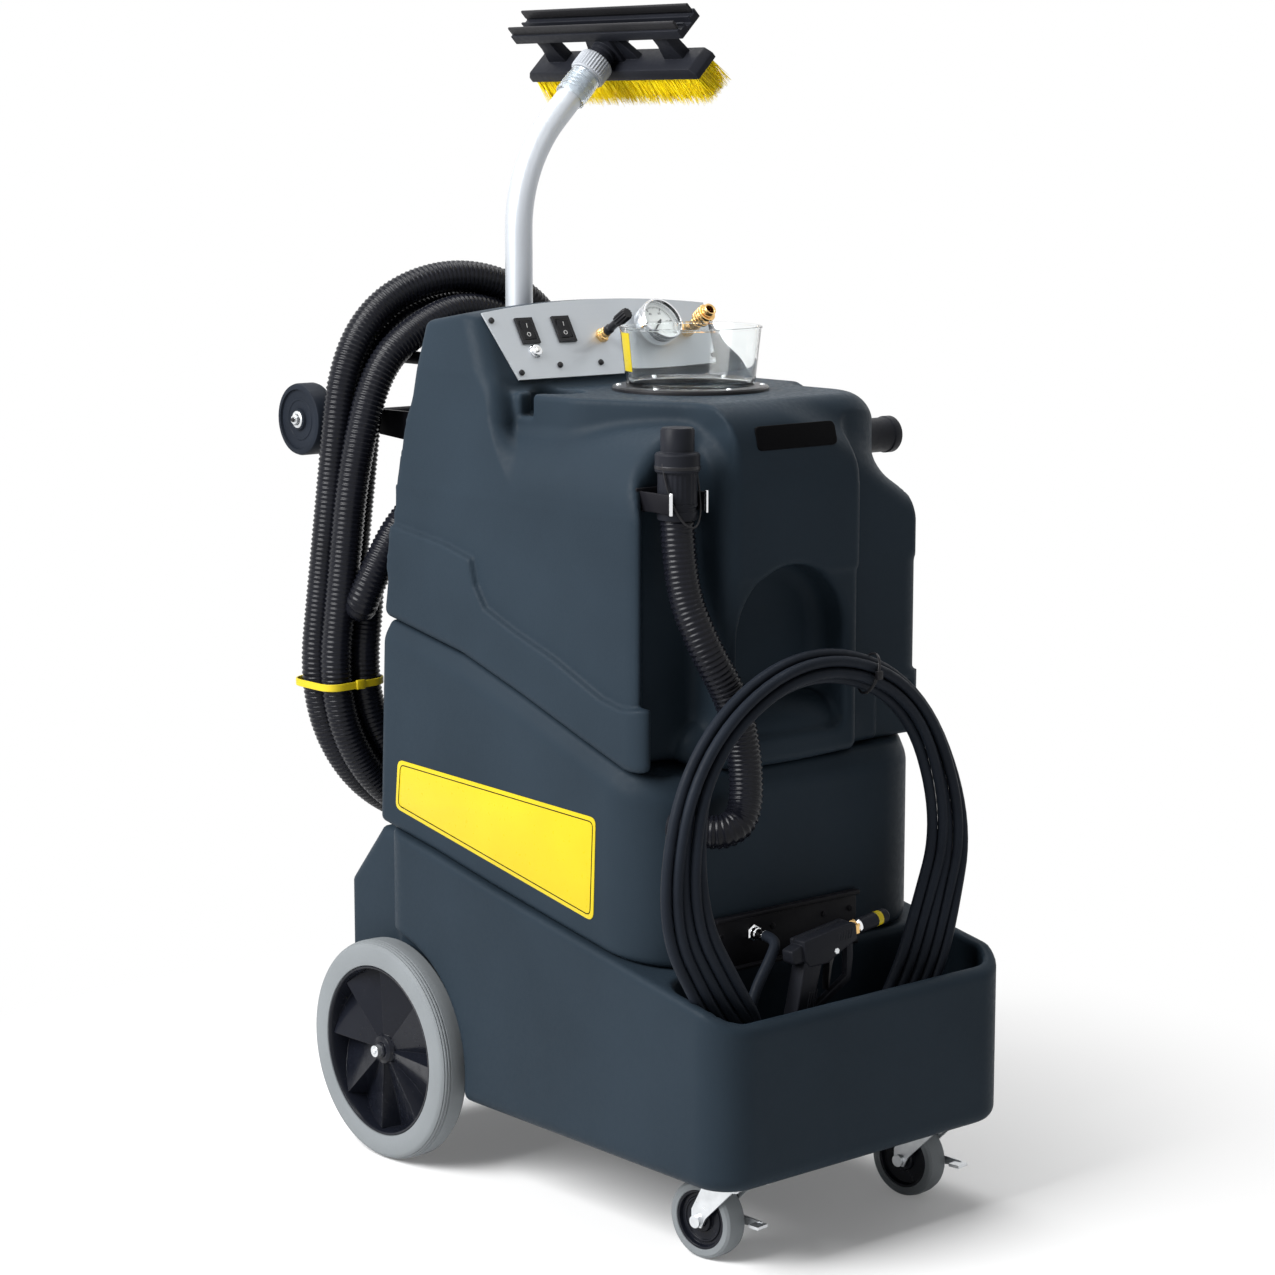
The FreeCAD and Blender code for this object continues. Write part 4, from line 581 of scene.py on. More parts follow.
def screw_tree():
    """Screw heads with a socket, one on every point of the mesh, all facing one way."""
    tree, start, end = new_tree("Seated Screws", {
        "Radius": ("NodeSocketFloat", 0.004), "Height": ("NodeSocketFloat", 0.0024),
        "Tilt": ("NodeSocketVector", None), "Material": ("NodeSocketMaterial", None)})
    crown = node(tree, "GeometryNodeMeshCylinder", {"Radius": start["Radius"], "Depth": start["Height"]},
                 {"Vertices": 20})[0]
    small = sum_of(tree, "MULTIPLY", start["Radius"], 0.78)
    thin = sum_of(tree, "MULTIPLY", start["Height"], 0.45)
    button = node(tree, "GeometryNodeMeshCylinder", {"Radius": small, "Depth": thin}, {"Vertices": 20})[0]
    lifted = node(tree, "ShaderNodeCombineXYZ", {"Z": sum_of(tree, "MULTIPLY", start["Height"], 0.6)})[0]
    button = node(tree, "GeometryNodeTransform", {"Geometry": button, "Translation": lifted})[0]
    bar_size = node(tree, "ShaderNodeCombineXYZ", {
        "X": sum_of(tree, "MULTIPLY", start["Radius"], 1.1), "Y": sum_of(tree, "MULTIPLY", start["Radius"], 0.26),
        "Z": sum_of(tree, "MULTIPLY", start["Height"], 0.5)})[0]
    bar = node(tree, "GeometryNodeMeshCube", {"Size": bar_size})[0]
    cross = node(tree, "GeometryNodeTransform", {"Geometry": bar}, {"Rotation": Euler((0, 0, math.pi / 2))})[0]
    both = tree.nodes.new("GeometryNodeJoinGeometry")
    tree.links.new(bar, both.inputs[0])
    tree.links.new(cross, both.inputs[0])
    bars_up = node(tree, "ShaderNodeCombineXYZ", {"Z": sum_of(tree, "MULTIPLY", start["Height"], 0.62)})[0]
    bars = node(tree, "GeometryNodeTransform", {"Geometry": both.outputs[0], "Translation": bars_up})[0]
    head = tree.nodes.new("GeometryNodeJoinGeometry")
    for piece in (crown, button, bars):
        tree.links.new(piece, head.inputs[0])
    turn = node(tree, "FunctionNodeEulerToRotation", {"Euler": start["Tilt"]})[0]
    spots = node(tree, "GeometryNodeMeshToPoints", {"Mesh": start["Geometry"]})[0]
    copies = node(tree, "GeometryNodeInstanceOnPoints",
                  {"Points": spots, "Instance": head.outputs[0], "Rotation": turn})[0]
    closing(tree, copies, start["Material"], end)
    return tree


def joined_mesh(name, meshes):
    """One mesh of several, each keeping its own finish."""
    result = bmesh.new()
    finishes = []
    for mesh in meshes:
        first = len(finishes)
        finishes += list(mesh.materials)
        before = len(result.faces)
        result.from_mesh(mesh)
        result.faces.ensure_lookup_table()
        for face in result.faces[before:]:
            face.material_index += first
    target = bpy.data.meshes.new(name)
    result.to_mesh(target)
    result.free()
    for material in finishes:
        target.materials.append(material)
    return target


def kit_mesh(kit):
    """The mesh of a kit in its own drawing place, in metres."""
    mesh = bpy.data.meshes.new(kit.name)
    kit.mesh.to_mesh(mesh)
    kit.mesh.free()
    mesh.transform(Matrix.Scale(0.001, 4))
    for key in kit.finishes:
        mesh.materials.append(FINISHES[key])
    return mesh


# ------------------------------------------------------------------ moulded shells

def meet(a, b, r):
    """Where two fields meet, their common edge rounded by r."""
    u, v = np.maximum(a + r, 0), np.maximum(b + r, 0)
    return np.minimum(np.maximum(a, b) + r, 0) + np.hypot(u, v) - r


def union(a, b, r):
    return -meet(-a, -b, r)


def carve(a, b, r):
    return meet(a, -b, r)


def smooth_step(low, high, value):
    t = np.clip((value - low) / (high - low), 0, 1)
    return t * t * (3 - 2 * t)


def rounded_plan(x, y, low, high, r):
    """Distance from a rectangle with rounded corners."""
    dx = np.abs(x - (low[0] + high[0]) / 2) - (high[0] - low[0]) / 2 + r
    dy = np.abs(y - (low[1] + high[1]) / 2) - (high[1] - low[1]) / 2 + r
    return np.minimum(np.maximum(dx, dy), 0) + np.hypot(np.maximum(dx, 0), np.maximum(dy, 0)) - r


def outline_field(px, py, points):
    """Distance from a closed outline, negative inside."""
    nearest = np.float32(1e9)
    inside = False
    for (ax, ay), (bx, by) in zip(points, points[1:] + points[:1]):
        ex, ey = bx - ax, by - ay
        t = np.clip(((px - ax) * ex + (py - ay) * ey) / (ex * ex + ey * ey), 0, 1)
        nearest = np.minimum(nearest, np.hypot(px - ax - t * ex, py - ay - t * ey))
        if by != ay:
            crosses = ((ay > py) != (by > py)) & (px < ex * (py - ay) / ey + ax)
            inside = crosses ^ inside
    return np.where(inside, -nearest, nearest)


def line_height(y, points):
    points = sorted(points)
    return np.interp(y, [p[0] for p in points], [p[1] for p in points])


RIM_LINE = [(-687, 320), (-643, 343), (-552, 360), (-458, 377), (-370, 393), (-225, 420), (-98, 446), (18, 466)]
SEAM_LINE = [(-560, 607), (-533, 608), (-483, 614), (-398, 642), (-279, 682), (-156, 720), (18, 752)]
SWAGE_LINE = [(60, 878), (-10, 878), (-117, 864), (-177, 850), (-186, 817), (-207, 788), (-265, 766), (-349, 739),
              (-441, 701), (-481, 693), (-531, 698), (-600, 700), (-600, 500), (60, 500)]


def base_field(x, y, z):
    side = np.abs(x)
    plan = rounded_plan(x, y, (-256, -687), (256, 18), 55)
    top = (z - line_height(y, RIM_LINE)) * 0.983
    wide = meet(meet(plan, 114 - z, 20), top, 7)
    well = meet(np.hypot(y, z - 152.4) - 168, 226 - side, 4)
    wide = carve(wide, well, 7)
    tail = outline_field(y, z, [(-185, 114), (135, 114), (135, 365), (62, 450), (-60, 450), (-185, 425)])
    whole = union(wide, meet(tail, side - 222, 16), 5)
    tray = rounded_plan(x, y, (-238, -669), (238, -552), 37)
    whole = carve(whole, meet(tray, 168 - z, 16), 7)
    inlet = np.maximum(np.hypot(x + 120, z - 236) - 14.5, 112 - y)
    return np.maximum(whole, -inlet)


def solution_field(x, y, z):
    rear = (y - 30) + (z - 472) * 0.045
    plan = meet(rounded_plan(x, y, (-247.6, -548), (247.6, 160), 95), rear, 16)
    seam = line_height(y, SEAM_LINE)
    waist = seam - 27
    lean = (plan + 0.42 * (z - waist)) * 0.92
    plan = meet(plan, lean, 3)
    low = (line_height(y, RIM_LINE) - z) * 0.983
    shell = meet(meet(plan, low + 1.0, 9), (z - seam) * 0.95 + 1.0, 6)
    filler = np.maximum(np.hypot(x - 150, z - 690) - 25, -12 - y)
    shell = carve(shell, filler, 3)
    spout = np.maximum(np.hypot(x + 184, z - 545) - 19.5, y + 500)
    return carve(shell, spout, 3)


def recovery_field(x, y, z):
    side = np.abs(x)
    swage = outline_field(y, z, SWAGE_LINE)
    proud = smooth_step(1.5, -1.5, swage) * 8.0
    lean = np.maximum(z - 930, 0) * 0.104
    flank = side - (238.0 - lean + proud)
    rear = np.where(z < 857, y - 18 + (z - 752) * 0.1714, y + (z - 857) * 0.1197) * 0.99
    seam = ((line_height(y, SEAM_LINE) + 1.5) - z) * 0.95
    # front with its rounded left corner, right part set back
    front = -549.5 - y
    core = meet(flank, front, 58)
    core = meet(core, rear, 14)
    body = meet(core, seam, 12)
    shoulder = meet(body, z - 1037.0, 96)
    # level deck above the sloping left shoulder
    edge = rounded_corners([(-196, -100), (-190, -330), (-120, -470), (-116, -620), (230, -620), (230, -100)], 90, 10)
    deck_plan = outline_field(x, y, edge)
    neck = meet(deck_plan, side - (236 - np.maximum(z - 900, 0) * 0.12), 20)
    neck = meet(neck, front, 14)
    neck = meet(neck, 850 - z, 2)
    deck = meet(neck, z - 1066.0, 7)
    front_round = meet(front, z - 1066.0, 58)
    deck = np.maximum(deck, front_round)
    # console behind the control panel
    out = -(y + 194) * math.cos(PANEL_LEAN) + (z - 1080) * math.sin(PANEL_LEAN)
    console_side = np.maximum(side - (226 - (z - 1066) * 0.20), flank)
    console = meet(out + 2.3, console_side, 26)
    console = meet(console, -(y + 206), 20)
    top = z - (1175.0 - 11.0 * np.minimum((x / 194.0) ** 2, 1.6)) + np.maximum(y + 110, 0) * 0.16
    console = meet(console, top, 7)
    console = meet(console, meet(rear, 850 - z, 2), 14)
    whole = union(shoulder, deck, 10)
    whole = union(whole, console, 9 + 45 * smooth_step(185, 225, side))
    whole = np.maximum(whole, np.maximum(flank, rear))
    # right part: set back, its neck narrower than its shoulder
    set_back = meet(103 - x, y + 529.5, 5)
    whole = carve(whole, set_back, 14)
    right = rounded_plan(x, y, (-900, -530), (201, 900), 105)
    neck_cut = meet(meet(-right, 952 - 0.6 * (x - 200) - z, 24), y + 345, 24)
    whole = carve(whole, neck_cut, 42)
    pocket = meet(meet(200 - x, np.abs(y + 435) - 52, 14), 952 - z, 8)
    whole = carve(whole, pocket, 6)
    # groove for the drain hose
    groove = meet(np.abs(x + 178) - 47, y + 488, 16)
    groove = meet(groove, z - 1052 + np.maximum(y + 520, 0) * 0.5, 16)
    whole = carve(whole, groove, 20)
    # arched recess
    arch = np.where(z > 767.5, np.hypot(x + 16.5, z - 767.5), np.abs(x + 16.5)) - 93.5
    arch = meet(meet(arch, 632 - z + np.maximum(-y - 520, 0) * 0.4, 20), y + 494, 22)
    whole = carve(whole, arch, 8)
    lip = np.sqrt(((x + 16.5) / 150) ** 2 + ((y + 500) / 47) ** 2 + ((z - 632) / 62) ** 2)
    lip = meet((lip - 1) * 45, seam, 8)
    whole = union(whole, np.maximum(lip, -548.5 - y), 10)
    # notch at the foot of the right part
    notch = meet(meet(np.abs(x - 190) - 34, np.abs(z - 640) - 46, 12), y + 521, 4)
    whole = carve(whole, notch, 4)
    # bottle recess with its slot, lid opening, inlet seat
    bottle = np.maximum(np.hypot(x + 140, y + 232) - 36, 1036 - z)
    slot = np.maximum(meet(np.abs(y + 232) - 13, x + 140, 1), 1036 - z)
    whole = carve(whole, union(bottle, slot, 3), 4)
    throat = np.maximum(np.hypot(x - 12, y + 321) - 79, 935 - z)
    whole = carve(whole, throat, 3)
    port = np.maximum(np.hypot(y + 435, z - 1000) - 24, 150 - x)
    return carve(whole, port, 2)


def skin(field, low, high, cell):
    """Net of quads over a field's zero level, its points moved onto the level."""
    axes = [np.arange(a - 2 * cell, b + 3 * cell, cell, dtype=np.float32) for a, b in zip(low, high)]
    values = np.empty([len(a) for a in axes], np.float32)
    block = 24
    for k in range(0, len(axes[0]), block):
        x, y, z = np.meshgrid(axes[0][k:k + block], axes[1], axes[2], indexing="ij", sparse=True)
        values[k:k + block] = np.broadcast_to(field(x, y, z), values[k:k + block].shape)
    inside = values < 0
    nx, ny, nz = (n - 1 for n in values.shape)

    def corner(i, j, k, source):
        return source[i:nx + i, j:ny + j, k:nz + k]

    corners = [(i, j, k) for i in (0, 1) for j in (0, 1) for k in (0, 1)]
    filled = sum(corner(*c, inside).astype(np.int8) for c in corners)
    active = (filled > 0) & (filled < 8)
    number = np.full(active.shape, -1, np.int64)
    cells = np.argwhere(active)
    number[active] = np.arange(len(cells))
    total = np.zeros((len(cells), 3), np.float64)
    hits = np.zeros(len(cells))
    for a in corners:
        for axis in range(3):
            if a[axis]:
                continue
            b = list(a)
            b[axis] = 1
            va = corner(*a, values)[active].astype(np.float64)
            vb = corner(*b, values)[active].astype(np.float64)
            cut = (va < 0) != (vb < 0)
            t = np.where(cut, va / np.where(cut, va - vb, 1), 0)
            spot = np.tile(np.array(a, float), (len(cells), 1))
            spot[:, axis] = t
            total += spot * cut[:, None]
            hits += cut
    points = (cells + total / hits[:, None]) * cell + np.array([a[0] for a in axes])
    start = points.copy()
    for _ in range(4):
        p = points.T
        d = field(*p)
        step = 0.4
        slope = np.stack([(field(*(p + step * e[:, None])) - field(*(p - step * e[:, None]))) / (2 * step)
                          for e in np.eye(3)], 1)
        size = np.maximum((slope ** 2).sum(1), 0.2)
        points = points - slope * (0.8 * d / size)[:, None]
        points = start + np.clip(points - start, -0.7 * cell, 0.7 * cell)
    faces = []
    for axis in range(3):
        u, v = [(1, 2), (2, 0), (0, 1)][axis]
        first = [slice(1, n - 1) for n in values.shape]
        first[axis] = slice(0, values.shape[axis] - 1)
        second = list(first)
        second[axis] = slice(1, values.shape[axis])
        before, after = inside[tuple(first)], inside[tuple(second)]
        for flip, crossing in ((False, before & ~after), (True, ~before & after)):
            spots = np.argwhere(crossing)
            spots += np.array([0 if k == axis else 1 for k in range(3)])
            ring = []
            for du, dv in ((1, 1), (0, 1), (0, 0), (1, 0)):
                c = spots.copy()
                c[:, u] -= du
                c[:, v] -= dv
                ring.append(number[c[:, 0], c[:, 1], c[:, 2]])
            quad = np.stack(ring, 1)
            faces.append(quad[:, ::-1] if flip else quad)
    return points, np.concatenate(faces)


def moulded(name, field, low, high, cell, replaces):
    points, faces = skin(field, low, high, cell)
    mesh = bpy.data.meshes.new(name)
    mesh.vertices.add(len(points))
    mesh.vertices.foreach_set("co", points.astype(np.float32).ravel())
    mesh.loops.add(faces.size)
    mesh.loops.foreach_set("vertex_index", faces.astype(np.int32).ravel())
    mesh.polygons.add(len(faces))
    mesh.polygons.foreach_set("loop_start", np.arange(0, faces.size, 4, dtype=np.int32))
    mesh.update(calc_edges=True)
    mesh.transform(TO_FRAME)
    mesh.materials.append(FINISHES["body"])
    return settle(name, mesh, "chassis", replaces, sharp=75)


# ------------------------------------------------------------------ hoses

def route_object(name, points):
    """A free hose's line: one smooth spline through the frame, its points in millimetres."""
    data = bpy.data.curves.new(name, "CURVE")
    data.dimensions = "3D"
    data.resolution_u = 16
    spline = data.splines.new("NURBS")
    spline.points.add(len(points) - 1)
    for point, place in zip(spline.points, points):
        point.co = (*at(*place), 1.0)
    spline.order_u = 3
    spline.use_endpoint_u = True
    route = bpy.data.objects.new(name, data)
    bpy.context.scene.collection.objects.link(route)
    return route


def line_of(route):
    """Points that the route's own smooth line gives."""
    bpy.context.view_layer.update()
    mesh = bpy.data.meshes.new_from_object(route.evaluated_get(bpy.context.evaluated_depsgraph_get()))
    points = [v.co.copy() for v in mesh.vertices]
    bpy.data.meshes.remove(mesh)
    return points


def ribbed_hose(name, points, diameter, sizes, sides, body, replaces):
    """A corrugated hose along a route; returns the piece and its line."""
    route = route_object(name + "_route", points)
    line = line_of(route)
    bpy.data.objects.remove(route)
    mesh = bpy.data.meshes.new(name + "_line")
    mesh.from_pydata(line, [(k, k + 1) for k in range(len(line) - 1)], [])
    pipe = grown(name, mesh, hose_tree(), {
        "Radius": diameter / 2 - sizes.rib_depth / 2, "Rib Depth": sizes.rib_depth,
        "Rib Pitch": sizes.rib_pitch, "Sides": sides, "Material": FINISHES["hose"]})
    piece = settle(name, pipe, body, replaces, sharp=80)
    return piece, line


def loop_points(low, low_radius, top, top_radius):
    """Control points of one loop round two circles, clockwise seen from the front, from its right side.
    Each is (circle centre, direction, radius factor, circle radius) so that an inset can be taken off."""
    across, up = top[0] - low[0], top[1] - low[1]
    apart = math.hypot(across, up)
    tilt = math.atan2(across, up)
    lean = math.asin((low_radius - top_radius) / apart)
    rows = []

    def on(centre, radius, angle, factor):
        rows.append((centre, math.radians(angle) - tilt, factor, radius))

    start = math.degrees(lean)
    low_span = 180 + 2 * start
    top_span = 180 - 2 * start
    low_half, top_half = low_span / 12, top_span / 10
    rows.append(("side", low, low_radius, top, top_radius, lean - tilt, 0.30))
    for k in range(6):
        on(low, low_radius, start - low_half * (2 * k + 1), 1 / math.cos(math.radians(low_half)))
    left = math.pi - lean - tilt
    rows.append(("side", low, low_radius, top, top_radius, left, 0.30))
    rows.append(("side", low, low_radius, top, top_radius, left, 0.72))
    for k in range(5):
        on(top, top_radius, 180 - start - top_half * (2 * k + 1), 1 / math.cos(math.radians(top_half)))
    rows.append(("side", low, low_radius, top, top_radius, lean - tilt, 0.72))
    return rows


def loop_place(row, inset):
    """X and Z of a control point of a loop, its strand inset from the loop's outer edge."""
    if row[0] == "side":
        _, low, low_radius, top, top_radius, angle, share = row
        away = Vector((math.cos(angle), math.sin(angle)))
        first = Vector(low) + away * (low_radius - inset)
        last = Vector(top) + away * (top_radius - inset)
        return first.lerp(last, share)
    centre, angle, factor, radius = row
    return Vector(centre) + Vector((math.cos(angle), math.sin(angle))) * ((radius - inset) * factor)


def vacuum_route():
    """From the closed end of the hanging cuff, round the hook three and a half times, to the cuff behind the tank."""
    loop = loop_points((11, 662), 264, (4, 1007), 212)
    count = len(loop)
    places = [(69, 194), (23, 194), (23, 148), (69, 148)]
    moves = [11.0, 10.0 + count, 8.0 + 2 * count]
    points = [CUFF_FOOT, (151, 171.5, 661)]
    for k in range(1, 3 * count + 8):
        inset, depth = places[0]
        for move, place in zip(moves, places[1:]):
            share = min(max((k - move) / 2.0, 0.0), 1.0)
            inset += (place[0] - inset) * share
            depth += (place[1] - depth) * share
        spot = loop_place(loop[k % count], inset)
        points.append((spot.x, depth, spot.y))
    points += [(-212, 122, 735), (-196, 101, 798), (-150, 99, 868), (-82, 99, 912), (-10, 99, 920)]
    return points


def solution_route():
    """From the tank's outlet, five loose turns in the tray, to the foot of the gun's grip."""
    loop = list(reversed(loop_points((-20, 347), 178, (-37.5, 510), 255)))
    count = len(loop)
    points = [(-88, -578, 398), (-88, -601, 398), (-106, -608, 378), (-136, -609, 338), (-148, -612, 296)]
    tied = [(9, -616), (16.5, -629), (24, -616), (31.5, -629), (39, -616)]
    first = 9
    for k in range(first, first + 5 * count - 1):
        row = loop[k % count]
        middle = loop_place(row, 25)
        at_top = min(max((middle.y - 430) / 180, 0), 1)
        lean = max(-1, min(1, (middle.x + 28) / 150))
        passed = (k - first) / count
        turn = min(int(passed), 4) + min(max((passed % 1 - 0.8) / 0.2, 0), 1) * (passed < 4)
        over = tied[int(turn)], tied[min(int(turn) + 1, 4)]
        inset, depth = (a + (b - a) * (turn % 1) for a, b in zip(*over))
        fan = (-5 if row[0] == "side" else 8) + 13.3 * turn
        inset = inset * at_top + fan * (1 - at_top)
        depth = depth * at_top + (lean * (turn - 2) * 5 - 627) * (1 - at_top)
        spot = loop_place(row, inset)
        points.append((spot.x, depth, spot.y))
    return points + [(-152, -629, 274), (-136, -630, 246), (-106, -630, 240), (-88.2, -630, 260.9),
                     (-82.4, -630, 286.3)]


# ------------------------------------------------------------------ makers

def make_shells():
    moulded("base_shell", base_field, (-256, -687, 114), (256, 135, 470), 5.0, ["base_tub"])
    moulded("solution_tank_shell", solution_field, (-248, -548, 355), (248, 31, 755), 4.6, ["solution_tank"])
    moulded("recovery_tank_shell", recovery_field, (-246, -551, 604), (246, 20, 1180), 4.3, ["recovery_tank"])


def make_vacuum_hose(sizes):
    cuffs = Kit("vacuum_cuffs")
    profile = [(0, 0), (25, 0), (27, 2), (27, 12), (25.8, 14), (26.6, 22), (25.6, 24), (26.2, 32), (25.2, 34),
               (25.8, 42), (24.8, 46), (24.2, 84), (25.2, 86), (25.2, 90), (19, 90), (19, 10), (0, 10)]
    cuffs.lathe(profile, "head_black", turned(CUFF_MOUTH, (72, 0, 8)), sides=40)
    cuffs.lathe(profile, "head_black", turned(CUFF_FOOT, (-0.14, 0, 1)), sides=40)
    cuffs = cuffs.made("chassis", "hose_black", ["vacuum_hose_cuffs"])
    piece, line = ribbed_hose("vacuum_hose", vacuum_route(), sizes.diameter, sizes, 15, "chassis",
                              ["vacuum_hose_coil", "vacuum_hose_tail"])
    make_strap()


def make_drain_hose(sizes):
    cap = Kit("drain_cap_and_bail")
    upright = turned(DRAIN_TOP, (0, 0, 1))
    cap.lathe([(0, 0), (24, 0), (25, 1.5), (25, 10), (23.5, 12), (23.5, 15), (25, 17), (25, 20), (0, 20)],
              "head_black", upright, sides=48)
    cap.lathe([(0, 20), (24.6, 20), (24.6, 58), (0, 58)], "head_black", upright, sides=96,
              lobes=24, lobe_depth=0.8)
    cap.lathe([(0, 58), (26, 58), (28, 60), (28, 80), (26.5, 82), (22, 83), (21, 84), (21, 110), (19, 113), (0, 113)],
              "head_black", upright, sides=48)
    cap.lathe([(27.6, 62), (28.6, 63), (28.6, 66), (27.6, 67)], "control", upright, sides=48, ring=True)
    bail = [(-190 + 27 * math.cos(t), -528 - 25.5 * math.sin(t), 1000 - 78 * math.sin(t) ** 0.8)
            for t in [math.pi * k / 24 for k in range(25)]]
    cap.sweep(bail, 1.2, "control", sides=8)
    cap = cap.made("chassis", "hose_black", ["drain_cap"])
    points = [SPOUT, (-165, -586, 541), (-131, -588, 560), (-121, -577, 628), (-141, -575, 706),
              (-178, -560, 776), (-190, -529, 850), DRAIN_TOP]
    piece, line = ribbed_hose("ribbed_drain_hose", points, sizes.drain_diameter, sizes, 24, "chassis", ["drain_hose"])
    clip = Kit("drain_hose_clip")
    clip.box((-226, -490, 938), (-154, -486, 968), "frame_black", bevel=1.5)
    for x in (-219, -161):
        clip.box((x - 2.2, -545, 940), (x + 2.2, -488, 964), "frame_black", bevel=1.2)
        clip.box((x - 1.6, -548, 938), (x + 1.6, -544, 966), "chrome", bevel=0.8)
    clip.made("chassis", "frame_black")


def make_solution_hose(sizes):
    route = route_object("solution_hose", solution_route())
    line = line_of(route)
    route.data.bevel_depth = sizes.small_diameter / 2
    route.data.bevel_resolution = 3
    route.data.resolution_u = 10
    route.data.use_fill_caps = True
    route.data.materials.append(FINISHES["rubber_hose"])
    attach(route, "chassis")
    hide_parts("solution_hose_coil", "solution_hose_tails")
    tie = Kit("hose_tie")
    turns = [2 * math.pi * k / 28 for k in range(28)]
    x, z, angle = 46, 725, 0.37
    ring = [(x + 26 * math.cos(t) * math.sin(angle), -622.5 + 17 * math.sin(t), z + 26 * math.cos(t) * math.cos(angle))
            for t in turns]
    tie.sweep(ring, 1.8, "cord_tie", sides=8, closed=True, flat=0.7)
    tie.box((x - 4, -643, z - 6), (x + 6, -638, z + 5), "cord_tie", bevel=1)
    tie.made("chassis", "hose_black")
    return route, line


def band(kit, outline, thickness, low, high, finish_name, slope=0.0):
    """Flat loop round a bundle, its outline in X and Y."""
    part = bmesh.new()
    cx = sum(p[0] for p in outline) / len(outline)
    cy = sum(p[1] for p in outline) / len(outline)
    rows = []
    for x, y in outline:
        away = Vector((x - cx, y - cy)).normalized() * thickness
        lift = slope * (x - cx)
        rows.append([part.verts.new((x, y, low + lift)), part.verts.new((x + away.x, y + away.y, low + lift)),
                     part.verts.new((x + away.x, y + away.y, high + lift)), part.verts.new((x, y, high + lift))])
    for a, b in zip(rows, rows[1:] + rows[:1]):
        for k in range(4):
            part.faces.new([a[k], b[k], b[(k + 1) % 4], a[(k + 1) % 4]])
    kit.put(part, finish_name, None, 0.6, 1, 50)


def make_strap():
    strap = Kit("hose_strap_band")
    outline = rounded_corners([(-257, 123), (-159, 123), (-159, 219), (-257, 219)], 26, 7)
    band(strap, outline, 2.4, 634, 644, "strap", slope=0.03)
    strap.box((-215, 118.5, 633), (-201, 123.5, 646), "strap", bevel=1.2)
    return strap.made("chassis", "strap_yellow", ["hose_strap"])


def wheel_place(s, x, y, z):
    return turned((s * x, y, z), (s, 0, 0), (0, 0, 1))


def make_wheels(sizes):
    for side, s in SIDES.items():
        place = wheel_place(s, REAR_WHEEL_X, 0, REAR_WHEEL_Z)
        tyre = Kit("rear_tyre_ring_" + side)
        tread = [(152.0, -14), (152.4, -6), (152.4, 7), (152.2, 8.4), (150.6, 9.0), (150.6, 9.8), (152.0, 10.4),
                 (151.7, 12.4), (149.9, 13.0), (149.9, 13.8), (150.9, 14.4), (150.2, 16.2), (148.4, 16.6),
                 (148.4, 17.4), (148.9, 18.0)]
        profile = [(117.9, -20.5), (119, -21.5), (144, -22), (149, -18.6), *tread, (146.5, 20.6), (143.0, 22),
                   (121.0, 22), (118.6, 21.2), (117.9, 19.5)]
        tyre.lathe(profile, "tyre", place, sides=128, ring=True)
        tyre.made(f"rear_wheel_{side}", "tyre_grey", [f"rear_tyre_{side}"], sharp=28)
        hub = Kit("rear_hub_disc_" + side)
        hub.lathe([(117.8, -20.5), (117.8, 19.6), (116.6, 20.8), (114.4, 20.2), (112.6, 17), (110.6, -8),
                   (110.6, -20.5)], "hub", place, sides=96, ring=True)
        hub.lathe([(8.1, -21), (22, -21), (22, 8), (19, 13), (14, 15.5), (8.1, 15.5)], "hub", place, ring=True)
        flat = hub.mesh
        wedge = Kit("vane")
        part = bmesh.new()
        span = 2 * math.pi / sizes.vanes
        lip = span * 0.13
        angles = [0.0, lip] + [lip + (span - lip) * k / 6 for k in range(1, 7)]
        heights = [15.0, -11.0] + [-11.0 + 26.0 * k / 6 for k in range(1, 7)]
        rings = [(17.0, 0.12, 8.0), (62.0, 0.62, 3.0), (111.5, 1.0, 0.0)]
        top = [[part.verts.new((r * math.cos(a), r * math.sin(a), h * keep + lift)) for a, h in zip(angles, heights)]
               for r, keep, lift in rings]
        low = [[part.verts.new((r * math.cos(a), r * math.sin(a), -18.0)) for a in angles] for r, _, _ in rings]
        last = len(angles) - 1
        for i in range(2):
            for k in range(last):
                part.faces.new([top[i][k], top[i + 1][k], top[i + 1][k + 1], top[i][k + 1]])
                part.faces.new([low[i][k], low[i][k + 1], low[i + 1][k + 1], low[i + 1][k]])
            part.faces.new([top[i][0], low[i][0], low[i + 1][0], top[i + 1][0]])
            part.faces.new([top[i][last], top[i + 1][last], low[i + 1][last], low[i][last]])
        for k in range(last):
            part.faces.new([top[0][k], top[0][k + 1], low[0][k + 1], low[0][k]])
            part.faces.new([top[2][k], low[2][k], low[2][k + 1], top[2][k + 1]])
        wedge.put(part, "hub")
        vanes = grown("vanes", kit_mesh(wedge), ring_tree(), {"Count": sizes.vanes, "Material": FINISHES["hub"]})
        vanes.transform(place @ IN_MM)
        holder = bpy.data.meshes.new("hub")
        flat.to_mesh(holder)
        for key in hub.finishes:
            holder.materials.append(FINISHES[key])
        flat.free()
        whole = joined_mesh("rear_hub_disc_" + side, [holder, vanes])
        whole.transform(TO_FRAME)
        settle("rear_hub_disc_" + side, whole, f"rear_wheel_{side}", [f"rear_hub_{side}"], 25)


